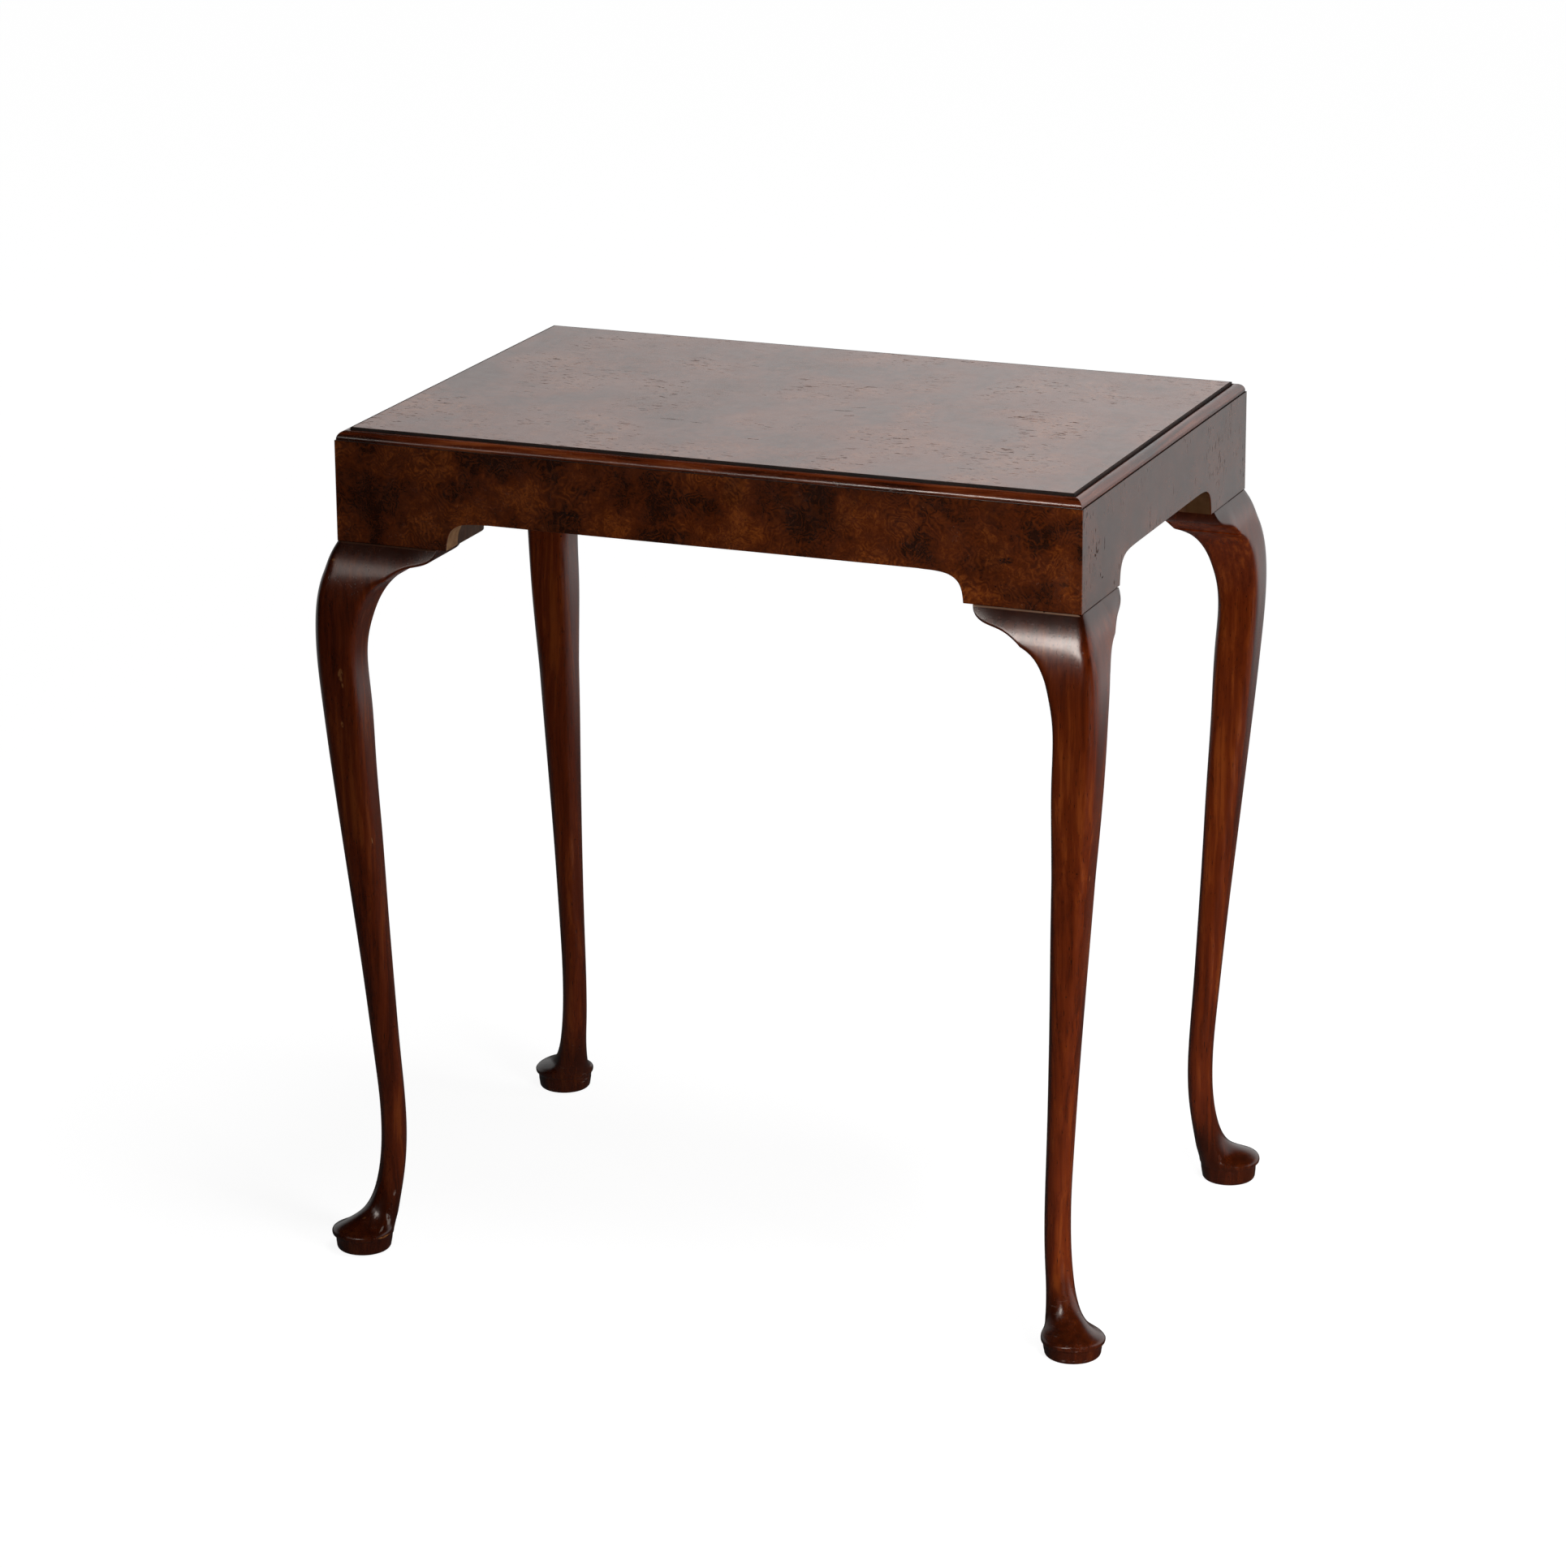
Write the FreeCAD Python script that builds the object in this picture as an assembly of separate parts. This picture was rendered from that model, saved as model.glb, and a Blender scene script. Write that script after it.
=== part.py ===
import FreeCAD, Part
import math
import os

# Side table on four cabriole legs with a lift-out tray top, all sizes in millimetres.
# Origin on the floor under the middle of the case, +X to the right, +Y to the back, +Z up.
# Every corner piece is drawn once in a corner frame, whose origin is the outer corner of the
# case on the floor with +X and +Y pointing outwards, and is then placed and mirrored.

# Case
case_width = 610.0
case_depth = 400.0
table_height = 680.0
apron_depth = 80.0           # from the underside of the lip down to the corners
arch_rise = 23.5             # how far the middle of each apron is cut up
front_drop_length = 93.0     # full-depth end of the front and back aprons
side_drop_length = 88.0      # full-depth end of the side aprons
arch_sweep = 38.0            # run of the curve from the drop to the level middle
facing_thickness = 1.0
rail_thickness = 20.0

# Lip moulding and the rebate that the tray drops into
lip_width = 7.5
lip_height = 7.0
lip_flat = 1.0
lip_foot = 0.6               # upright step under the quarter round
tray_thickness = 18.0
tray_proud = 2.0             # tray surface above the lip
tray_clearance = 1.0
edging_thickness = 1.5
veneer_thickness = 1.0

# Posts and their joints
post_size = 44.0
tenon_thickness = 10.0
tenon_length = 25.0
tenon_shoulder = 10.0        # wood left above and below each tenon

# Cabriole leg, as offsets from the outer corner of the case, outwards positive
knee_ledge = 0.8             # step out under the apron
knee_out = 17.3
knee_in = -19.0
knee_drop = 77.0             # apron to the fullest part of the knee
knee_power = 2.7             # how quickly the knee swells
ankle_height = 100.0
ankle_out = -12.0
ankle_in = -32.6

# Pad foot, measured along the diagonal of the corner
pad_centre = -2.7
pad_radius = 25.2
pad_edge_height = 16.5
pad_quirk = 0.3              # undercut where the turned base meets the carved pad
pad_cove_height = 12.0
pad_cove_depth = 0.4
base_radius = 22.3
base_rounding = 3.5

# Brackets beside each knee
bracket_length = 40.0
side_bracket_length = 37.5
bracket_depth = 25.6
bracket_overcut = 1.3        # depth drawn before the lower edge is cut, as a share

# Corner blocks and screws inside the case
block_height = 45.0
block_rounding = 24.0        # rounded inner corner, seen from above
screw_radius = 2.5
screw_point_radius = 0.25
screw_point_length = 7.5
screw_head_radius = 5.0
screw_length = 50.0
screw_bite = 20.0            # length that enters the post
screw_spacing = 20.0
slot_width = 1.2
slot_depth = 1.0

section_points = 48          # points on each closed outline of a leg

# Derived levels and faces
rail_top = table_height - tray_proud - lip_height
case_bottom = rail_top - apron_depth
tray_floor = table_height - tray_thickness
half_width = case_width / 2
half_depth = case_depth / 2
post_inner = facing_thickness + post_size
rail_inner = facing_thickness + rail_thickness
lip_inner = facing_thickness + lip_width

diagonal = math.sqrt(0.5)
corners = {
    "front_left": (-1, -1),
    "front_right": (1, -1),
    "back_right": (1, 1),
    "back_left": (-1, 1),
}


def vector(x, y, z):
    return FreeCAD.Vector(x, y, z)


def box(low, high):
    size = [high[axis] - low[axis] for axis in range(3)]
    return Part.makeBox(size[0], size[1], size[2], vector(*low))


def prism(points, height):
    """Upright prism on a closed outline."""
    outline = Part.makePolygon(points + [points[0]])
    return Part.Face(outline).extrude(vector(0, 0, height))


def spline(points):
    curve = Part.BSplineCurve()
    curve.interpolate(points)
    return curve.toShape()


def save(name, shape):
    solids = shape.Solids
    if not solids or not shape.isValid():
        raise ValueError(name + " is not a sound solid")
    result = solids[0] if len(solids) == 1 else Part.makeCompound(solids)
    result.exportStep("parts/" + name + ".step")
    print(name, len(solids), round(result.Volume / 1000, 1), "cm3")


def place(shape, side):
    """Move a corner-frame shape to its corner of the case."""
    placed = shape.translated(vector(half_width, half_depth, 0))
    if side[0] < 0:
        placed = placed.mirror(vector(0, 0, 0), vector(1, 0, 0))
    if side[1] < 0:
        placed = placed.mirror(vector(0, 0, 0), vector(0, 1, 0))
    return placed


def swapped(shape):
    """Exchange the two outward directions of the corner frame."""
    return shape.mirror(vector(0, 0, 0), vector(1, -1, 0))


# Legs ------------------------------------------------------------------------

def knee_swell(drop):
    """Offset of the knee face at a distance below the apron."""
    left = 1 - min(drop / knee_drop, 1)
    return knee_ledge + (knee_out - knee_ledge) * (1 - left ** knee_power)


def squared_section(height, outer, inner, arris_squareness, back_squareness):
    """Closed outline between two offsets, with the outer arris apart from the other
    corners; a squareness of 2 is a circle, higher is squarer."""
    middle = (outer + inner) / 2
    half = (outer - inner) / 2
    points = []
    for index in range(section_points):
        angle = 2 * math.pi * index / section_points
        squareness = arris_squareness if angle < math.pi / 2 else back_squareness
        along = math.copysign(abs(math.cos(angle)) ** (2 / squareness), math.cos(angle))
        across = math.copysign(abs(math.sin(angle)) ** (2 / squareness), math.sin(angle))
        points.append(vector(middle + half * along, middle + half * across, height))
    return closed_wire(points)


def foot_section(height, heel, toe, half_breadth, widest):
    """Egg-shaped outline along the diagonal; widest is its share from heel to toe."""
    centre = heel + (toe - heel) * widest
    points = []
    for index in range(section_points):
        angle = 2 * math.pi * index / section_points - math.pi / 4
        reach = toe - centre if math.cos(angle) > 0 else centre - heel
        along = (centre + reach * math.cos(angle)) * diagonal
        across = half_breadth * math.sin(angle) * diagonal
        points.append(vector(along - across, along + across, height))
    return closed_wire(points)


def closed_wire(points):
    curve = Part.BSplineCurve()
    curve.interpolate(points, PeriodicFlag=True)
    return Part.Wire(curve.toShape())


# Below the apron: drop, inner face, squareness of the outer arris and of the other corners.
# The first rows run past the post, and the joint faces trim them.
knee_rows = [
    (0.0, -66.0, 14.0, 14.0),
    (8.0, -66.0, 12.5, 14.0),
    (16.0, -64.0, 10.5, 13.0),
    (21.5, -58.0, 9.0, 12.0),
    (25.2, -49.0, 8.0, 11.0),
    (29.0, -41.0, 7.2, 10.0),
    (34.0, -34.6, 6.2, 9.0),
    (41.0, -29.4, 5.3, 8.0),
    (50.0, -25.2, 4.6, 7.0),
    (62.0, -21.8, 4.1, 5.6),
]

# From knee to ankle: share of the way down, shares of the move in of each face, squarenesses.
shank_rows = [
    (0.00, 0.000, 0.000, 3.8, 4.6),
    (0.12, 0.085, 0.035, 3.8, 4.0),
    (0.25, 0.225, 0.155, 3.7, 3.7),
    (0.40, 0.400, 0.330, 3.2, 3.2),
    (0.55, 0.575, 0.480, 2.7, 2.7),
    (0.70, 0.745, 0.650, 2.3, 2.3),
    (0.85, 0.900, 0.835, 2.1, 2.1),
    (1.00, 1.000, 1.000, 2.0, 2.0),
]

# Ankle to pad: height, heel, toe, half breadth, share of the length where it is broadest.
foot_rows = [
    (72.0, -40.2, -19.4, 10.6, 0.50),
    (56.0, -37.8, -16.2, 11.0, 0.50),
    (46.0, -35.8, -12.8, 11.6, 0.46),
    (38.0, -34.0, -8.4, 12.5, 0.41),
    (32.0, -32.6, -2.8, 13.5, 0.36),
    (27.0, -31.2, 5.8, 15.0, 0.33),
    (23.0, -30.0, 14.8, 17.2, 0.35),
    (19.5, -28.8, 20.8, 21.2, 0.43),
]


def leg_loft():
    wires = []
    for drop, inner, arris, back in knee_rows:
        wires.append(squared_section(case_bottom - drop, knee_swell(drop), inner, arris, back))
    knee_height = case_bottom - knee_drop
    for share, outer_share, inner_share, arris, back in shank_rows:
        height = knee_height + (ankle_height - knee_height) * share
        outer = knee_out + (ankle_out - knee_out) * outer_share
        inner = knee_in + (ankle_in - knee_in) * inner_share
        wires.append(squared_section(height, outer, inner, arris, back))
    for row in foot_rows:
        wires.append(foot_section(*row))
    heel = pad_centre - pad_radius
    toe = pad_centre + pad_radius
    wires.append(foot_section(pad_edge_height, heel, toe, pad_radius, 0.5))
    return Part.makeLoft(wires, True, False)


def pad_base():
    """Turned underside of the pad: cove, straight base and rounded bottom edge."""
    cove_radius = base_radius - pad_cove_depth
    rim_radius = pad_radius - pad_quirk
    corner = base_rounding * (1 - diagonal)
    floor_middle = vector(0, 0, 0)
    floor_edge = vector(base_radius - base_rounding, 0, 0)
    rounding_bend = vector(base_radius - corner, 0, corner)
    base_edge = vector(base_radius, 0, base_rounding)
    cove_start = vector(cove_radius, 0, pad_cove_height)
    cove_middle = (pad_cove_height + pad_edge_height) / 2
    cove_bend = vector((cove_radius + 2 * rim_radius) / 3, 0, cove_middle)
    rim = vector(rim_radius, 0, pad_edge_height)
    top_middle = vector(0, 0, pad_edge_height)
    edges = [
        Part.makeLine(floor_middle, floor_edge),
        Part.Arc(floor_edge, rounding_bend, base_edge).toShape(),
        Part.makeLine(base_edge, cove_start),
        Part.Arc(cove_start, cove_bend, rim).toShape(),
        Part.makeLine(rim, top_middle),
        Part.makeLine(top_middle, floor_middle),
    ]
    profile = Part.Face(Part.Wire(edges))
    base = profile.revolve(vector(0, 0, 0), vector(0, 0, 1), 360)
    centre = pad_centre * diagonal
    return base.translated(vector(centre, centre, 0))


def tenon(reach):
    """Front rail tenon in the corner frame, from the post face inwards by the reach."""
    middle = -(facing_thickness + rail_thickness / 2)
    low = (-post_inner, middle - tenon_thickness / 2, case_bottom + tenon_shoulder)
    high = (-post_inner + reach, middle + tenon_thickness / 2, tray_floor - tenon_shoulder)
    return box(low, high)


def tray_recess():
    """Space above the rebate that the tray drops into, in the corner frame."""
    return box((-case_width, -case_depth, tray_floor), (-lip_inner, -lip_inner, table_height))


def post():
    low = (-post_inner, -post_inner, case_bottom)
    high = (-facing_thickness, -facing_thickness, rail_top)
    square = box(low, high)
    for cutter in (tenon(tenon_length), swapped(tenon(tenon_length)), tray_recess()):
        square = square.cut(cutter)
    return square


def leg():
    """Carved leg, pad and post in one piece; the knee ends at the joint faces of the post."""
    knee_level = case_bottom - knee_drop
    outside = pad_radius * 2
    behind = -post_inner * 2
    knee_space = box((-post_inner, -post_inner, knee_level), (outside, outside, case_bottom))
    shank_space = box((behind, behind, pad_edge_height), (outside, outside, knee_level))
    carved = leg_loft().common(knee_space.fuse(shank_space).removeSplitter())
    return carved.fuse([pad_base(), post()]).removeSplitter()


# Brackets --------------------------------------------------------------------

# Lower edge: shares of the bracket length and depth, from the knee out to the tip.
bracket_edge = [
    (0.00, 1.00),
    (0.18, 0.79),
    (0.40, 0.62),
    (0.65, 0.52),
    (0.85, 0.40),
    (0.965, 0.22),
    (1.00, 0.00),
]

# Swell of the face along the bracket: share of its length, share of the knee's swell.
bracket_swell = [(0.00, 0.99), (0.38, 0.78), (0.70, 0.46), (1.00, 0.33)]


def bracket(length):
    tip = -(post_inner + length)
    full_depth = bracket_depth * bracket_overcut
    drops = [full_depth * share for share in (0, 0.2, 0.4, 0.6, 0.8, 1)]
    wires = []
    for share, swell in bracket_swell:
        across = -post_inner - length * share
        face = []
        for drop in drops:
            offset = knee_ledge + (knee_swell(drop) - knee_ledge) * swell
            face.append(vector(across, offset, case_bottom - drop))
        back_top = vector(across, -post_inner, case_bottom)
        back_low = vector(across, -post_inner, face[-1].z)
        edges = [spline(face), Part.makeLine(face[-1], back_low)]
        edges += [Part.makeLine(back_low, back_top), Part.makeLine(back_top, face[0])]
        wires.append(Part.Wire(edges))
    body = Part.makeLoft(wires, True, False)
    lower = []
    for along, down in bracket_edge:
        across = -post_inner - length * along
        lower.append(vector(across, -post_inner, case_bottom - bracket_depth * down))
    start = vector(-post_inner, -post_inner, case_bottom)
    end = vector(tip, -post_inner, case_bottom)
    outline = Part.Wire([spline(lower), Part.makeLine(end, start), Part.makeLine(start, lower[0])])
    cutter = Part.Face(outline).extrude(vector(0, post_inner + knee_out * 2, 0))
    return body.common(cutter)


# Aprons ----------------------------------------------------------------------

# Curve of the cut-out: shares of its sweep and rise, from the drop to the level middle.
arch_curve = [(0.00, 0.00), (0.03, 0.36), (0.11, 0.67), (0.27, 0.87), (0.54, 0.97), (1.00, 1.00)]


def apron_face(half_length, half_case, drop_length, top, offset):
    """Upright face in the XZ plane with the arched lower edge, at a given Y."""
    arch_start = half_case - drop_length
    right = []
    left = []
    for along, up in arch_curve:
        reach = arch_start - arch_sweep * along
        height = case_bottom + arch_rise * up
        right.append(vector(reach, offset, height))
        left.append(vector(-reach, offset, height))
    left.reverse()
    low_right = vector(half_length, offset, case_bottom)
    low_left = vector(-half_length, offset, case_bottom)
    high_right = vector(half_length, offset, top)
    high_left = vector(-half_length, offset, top)
    edges = [
        Part.makeLine(low_right, right[0]),
        spline(right),
        Part.makeLine(right[-1], left[0]),
        spline(left),
        Part.makeLine(left[-1], low_left),
        Part.makeLine(low_left, high_left),
        Part.makeLine(high_left, high_right),
        Part.makeLine(high_right, low_right),
    ]
    return Part.Face(Part.Wire(edges))


def rail(half_case, half_other, drop_length):
    """Front rail with its tenons; the back rail is its mirror."""
    outer = -half_other + facing_thickness
    half_length = half_case - post_inner
    face = apron_face(half_length, half_case, drop_length, rail_top, outer)
    body = face.extrude(vector(0, rail_thickness, 0))
    rebate_low = (-half_length, -half_other + lip_inner, tray_floor)
    rebate_high = (half_length, half_other, rail_top)
    body = body.cut(box(rebate_low, rebate_high))
    tongue = tenon(tenon_length).mirror(vector(0, 0, 0), vector(0, 1, 0))
    right = tongue.translated(vector(half_case, -half_other, 0))
    left = right.mirror(vector(0, 0, 0), vector(1, 0, 0))
    return body.fuse([right, left]).removeSplitter()


def facing(half_length, half_case, half_other, drop_length):
    face = apron_face(half_length, half_case, drop_length, rail_top, -half_other)
    return face.extrude(vector(0, facing_thickness, 0))


def turned(shape):
    """Quarter turn, from the front face to the right side."""
    result = shape.copy()
    result.rotate(vector(0, 0, 0), vector(0, 0, 1), 90)
    return result


def lip(half_case, half_other):
    """Front lip moulding, mitred at both ends."""
    start = -half_other + facing_thickness
    inner = -half_other + lip_inner
    crown = inner - lip_flat
    rise = lip_height - lip_foot
    bend = vector(-half_case, crown - (crown - start) * diagonal, rail_top + lip_foot + rise * diagonal)
    foot = vector(-half_case, start, rail_top)
    step = vector(-half_case, start, rail_top + lip_foot)
    top_outer = vector(-half_case, crown, rail_top + lip_height)
    top_inner = vector(-half_case, inner, rail_top + lip_height)
    low_inner = vector(-half_case, inner, rail_top)
    edges = [
        Part.makeLine(foot, step),
        Part.Arc(step, bend, top_outer).toShape(),
        Part.makeLine(top_outer, top_inner),
        Part.makeLine(top_inner, low_inner),
        Part.makeLine(low_inner, foot),
    ]
    bar = Part.Face(Part.Wire(edges)).extrude(vector(2 * half_case, 0, 0))
    return bar.common(mitre(half_case, half_other, rail_top, lip_height))


def mitre(half_case, half_other, bottom, height):
    """Front quarter of the case plan, bounded by the 45 degree mitres."""
    points = [
        vector(-half_case, -half_other, bottom),
        vector(half_case, -half_other, bottom),
        vector(half_case - half_other, 0, bottom),
        vector(-half_case + half_other, 0, bottom),
    ]
    if half_case < half_other:
        points[2:] = [vector(0, half_case - half_other, bottom)]
    return prism(points, height)


# Inside corners --------------------------------------------------------------

def corner_block():
    """Block behind the post, flush with the ends of both apron drops, rounded at its free
    corner."""
    post_face = -post_inner
    rail_face = -rail_inner
    across = -front_drop_length
    along = -side_drop_length
    level = case_bottom
    bend_x = across + block_rounding
    bend_y = along + block_rounding
    bend = vector(bend_x - block_rounding * diagonal, bend_y - block_rounding * diagonal, level)
    turn_start = vector(bend_x, along, level)
    turn_end = vector(across, bend_y, level)
    edges = [
        Part.makeLine(vector(post_face, post_face, level), vector(rail_face, post_face, level)),
        Part.makeLine(vector(rail_face, post_face, level), vector(rail_face, along, level)),
        Part.makeLine(vector(rail_face, along, level), turn_start),
        Part.Arc(turn_start, bend, turn_end).toShape(),
        Part.makeLine(turn_end, vector(across, rail_face, level)),
        Part.makeLine(vector(across, rail_face, level), vector(post_face, rail_face, level)),
        Part.makeLine(vector(post_face, rail_face, level), vector(post_face, post_face, level)),
    ]
    return Part.Face(Part.Wire(edges)).extrude(vector(0, 0, block_height))


def diagonal_seat(shape, height):
    """Turn a shape drawn along +Z to point outwards along the corner diagonal, with its origin
    where the screw heads sit."""
    shape.rotate(vector(0, 0, 0), vector(-1, 1, 0), 90)
    seat = -post_inner - (screw_length - screw_bite) * diagonal
    return shape.translated(vector(seat, seat, height))


def screw(height):
    """Countersunk screw through the block into the post."""
    head_depth = screw_head_radius - screw_radius
    shank_start = vector(0, 0, head_depth)
    point_start = vector(0, 0, screw_length - screw_point_length)
    shank_length = screw_length - screw_point_length - head_depth
    head = Part.makeCone(screw_head_radius, screw_radius, head_depth)
    shank = Part.makeCylinder(screw_radius, shank_length, shank_start)
    point = Part.makeCone(screw_radius, screw_point_radius, screw_point_length, point_start)
    slot_low = (-screw_head_radius, -slot_width / 2, 0)
    slot_high = (screw_head_radius, slot_width / 2, slot_depth)
    slot = box(slot_low, slot_high)
    return diagonal_seat(head.fuse([shank, point]).cut(slot), height)


def screw_well(height):
    """Clear hole for the head and its driver, from the free corner down to the seat."""
    well = Part.makeCylinder(screw_head_radius, screw_length, vector(0, 0, -screw_length))
    return diagonal_seat(well, height)


# Tray ------------------------------------------------------------------------

def tray_pieces():
    half_x = half_width - lip_inner - tray_clearance
    half_y = half_depth - lip_inner - tray_clearance
    core_x = half_x - edging_thickness
    core_y = half_y - edging_thickness
    core_top = table_height - veneer_thickness
    core_bottom = tray_floor + veneer_thickness
    pieces = {
        "tray_core_board": box((-core_x, -core_y, core_bottom), (core_x, core_y, core_top)),
        "tray_burr_veneer": box((-core_x, -core_y, core_top), (core_x, core_y, table_height)),
        "tray_backing_veneer": box((-core_x, -core_y, tray_floor), (core_x, core_y, core_bottom)),
    }
    strip = box((-half_x, -half_y, tray_floor), (half_x, -core_y, table_height))
    front = strip.common(mitre(half_x, half_y, tray_floor, tray_thickness))
    strip = box((-half_y, -half_x, tray_floor), (half_y, -core_x, table_height))
    right = turned(strip.common(mitre(half_y, half_x, tray_floor, tray_thickness)))
    pieces["tray_edging_front"] = front
    pieces["tray_edging_back"] = front.mirror(vector(0, 0, 0), vector(0, 1, 0))
    pieces["tray_edging_right"] = right
    pieces["tray_edging_left"] = right.mirror(vector(0, 0, 0), vector(1, 0, 0))
    return pieces


# Build -----------------------------------------------------------------------

screw_middle = case_bottom + block_height / 2
screw_levels = [screw_middle + step * screw_spacing / 2 for step in (-1, 1)]
screws = [screw(level) for level in screw_levels]
wells = [screw_well(level) for level in screw_levels]

leg_shape = leg().cut(screws)
block_shape = corner_block().cut(screws + wells)
long_bracket = bracket(bracket_length)
short_bracket = swapped(bracket(side_bracket_length))

for corner, side in corners.items():
    save("leg_" + corner, place(leg_shape, side))
    save("corner_block_" + corner, place(block_shape, side))
    facing_side = corner.split("_")[0]
    other_side = corner.split("_")[1]
    save("knee_bracket_" + corner + "_" + facing_side, place(long_bracket, side))
    save("knee_bracket_" + corner + "_" + other_side, place(short_bracket, side))

all_screws = [place(one, side) for side in corners.values() for one in screws]
save("corner_block_screws", Part.makeCompound(all_screws))

front_rail = rail(half_width, half_depth, front_drop_length)
right_rail = turned(rail(half_depth, half_width, side_drop_length))
front_facing = facing(half_width, half_width, half_depth, front_drop_length)
side_length = half_depth - facing_thickness
right_facing = turned(facing(side_length, half_depth, half_width, side_drop_length))
front_lip = lip(half_width, half_depth)
right_lip = turned(lip(half_depth, half_width))

for name, front, right in (
    ("rail", front_rail, right_rail),
    ("burr_facing", front_facing, right_facing),
    ("lip_moulding", front_lip, right_lip),
):
    save(name + "_front", front)
    save(name + "_back", front.mirror(vector(0, 0, 0), vector(0, 1, 0)))
    save(name + "_right", right)
    save(name + "_left", right.mirror(vector(0, 0, 0), vector(1, 0, 0)))

for name, shape in tray_pieces().items():
    save(name, shape)
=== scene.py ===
import bmesh
import bpy
import math
import numpy as np
from mathutils import Matrix, Vector


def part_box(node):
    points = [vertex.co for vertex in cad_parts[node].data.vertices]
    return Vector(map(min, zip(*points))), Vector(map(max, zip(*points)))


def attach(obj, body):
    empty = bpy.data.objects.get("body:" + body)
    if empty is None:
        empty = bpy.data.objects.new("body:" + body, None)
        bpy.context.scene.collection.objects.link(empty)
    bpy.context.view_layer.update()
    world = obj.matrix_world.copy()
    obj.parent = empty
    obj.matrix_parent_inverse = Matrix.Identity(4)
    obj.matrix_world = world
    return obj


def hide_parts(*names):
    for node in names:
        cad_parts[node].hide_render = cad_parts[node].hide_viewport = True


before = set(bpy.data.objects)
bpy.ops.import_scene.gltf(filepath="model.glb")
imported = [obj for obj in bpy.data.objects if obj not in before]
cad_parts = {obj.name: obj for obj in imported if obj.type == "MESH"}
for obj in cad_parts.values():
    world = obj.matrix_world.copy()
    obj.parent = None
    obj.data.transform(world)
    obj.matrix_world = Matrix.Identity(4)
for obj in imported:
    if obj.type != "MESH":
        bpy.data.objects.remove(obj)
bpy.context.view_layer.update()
print("frame loaded with", len(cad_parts), "nodes")

mm = 0.001

# levels and faces of the case, in millimetres, read off the frame
frontLow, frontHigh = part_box("burr_facing_front")
halfWidth = round(frontHigh.x / mm, 3)
halfDepth = round(-frontLow.y / mm, 3)
apronBottom = round(frontLow.z / mm, 3)
apronTop = round(frontHigh.z / mm, 3)
trayFloor = round(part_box("tray_backing_veneer")[0].z / mm, 3)
postInner = round(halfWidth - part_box("knee_bracket_front_right_front")[1].x / mm, 3)

cornerSides = {
    "front_left": (-1, -1),
    "front_right": (1, -1),
    "back_right": (1, 1),
    "back_left": (-1, 1),
}


# ---- node helpers

bench = {}              # holds the node tree that is being built


class Wire:
    # output of a node; sums of wires turn into Math nodes
    def __init__(self, socket):
        self.socket = socket

    def __add__(self, other):
        return sums("ADD", self, other)

    def __sub__(self, other):
        return sums("SUBTRACT", self, other)

    def __rsub__(self, other):
        return sums("SUBTRACT", other, self)

    def __mul__(self, other):
        return sums("MULTIPLY", self, other)

    def __truediv__(self, other):
        return sums("DIVIDE", self, other)

    def __rtruediv__(self, other):
        return sums("DIVIDE", other, self)

    def __pow__(self, other):
        return sums("POWER", self, other)

    def __mod__(self, other):
        return sums("MODULO", self, other)

    def __gt__(self, other):
        return sums("GREATER_THAN", self, other)

    def __lt__(self, other):
        return sums("LESS_THAN", self, other)

    __radd__ = __add__
    __rmul__ = __mul__


def plug(socket, value):
    if isinstance(value, Wire):
        bench["tree"].links.new(value.socket, socket)
    elif value is not None:
        socket.default_value = value


def node(kind, settings=None, **links):
    # links feed input sockets by name, with spaces written as underscores
    made = bench["tree"].nodes.new(kind)
    for key, value in (settings or {}).items():
        setattr(made, key, value)
    for key, value in links.items():
        plug(made.inputs[key.replace("_", " ")], value)
    return made


def wire(kind, settings=None, output=0, **links):
    return Wire(node(kind, settings, **links).outputs[output])


def isVector(value):
    return isinstance(value, tuple) or isinstance(value, Wire) and value.socket.type in ("VECTOR", "RGBA")


def sums(operation, *values):
    # a Vector Math node where a vector takes part, and a Math node otherwise
    vector = any(isVector(value) for value in values)
    made = node("ShaderNodeVectorMath" if vector else "ShaderNodeMath", {"operation": operation})
    for socket, value in zip(made.inputs, values):
        plug(socket, (value,) * 3 if vector and isinstance(value, (int, float)) else value)
    return Wire(made.outputs["Value" if operation in ("LENGTH", "DOT_PRODUCT") else 0])


def most(first, second):
    return sums("MAXIMUM", first, second)


def least(first, second):
    return sums("MINIMUM", first, second)


def clamped(value):
    value.socket.node.use_clamp = True
    return value


def between(share, low, high):
    # plain mix of two numbers
    return (high - low) * share + low


def apart(vector):
    return [Wire(socket) for socket in node("ShaderNodeSeparateXYZ", Vector=vector).outputs]


def joint(x=None, y=None, z=None):
    return wire("ShaderNodeCombineXYZ", X=x, Y=y, Z=z)


def cloud(vector, scale, detail=3.0, roughness=0.5):
    return wire("ShaderNodeTexNoise", Vector=vector, Scale=scale, Detail=detail, Roughness=roughness)


def openTree(name, kind, inputs):
    # inputs by name: a number, a vector, a number with its limits, or the word for a kind of socket
    tree = bench["tree"] = bpy.data.node_groups.new(name, kind)
    words = {int: "Int", float: "Float", tuple: "Vector"}
    for label, value in inputs.items():
        value, *limits = value if isinstance(value, list) else [value]
        word = words.get(type(value), value)
        socket = tree.interface.new_socket(name=label, in_out="INPUT", socket_type="NodeSocket" + word)
        if word != value:
            socket.default_value = value
        if limits:
            socket.min_value, socket.max_value = limits
    return {socket.name: Wire(socket) for socket in tree.nodes.new("NodeGroupInput").outputs}


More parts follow.
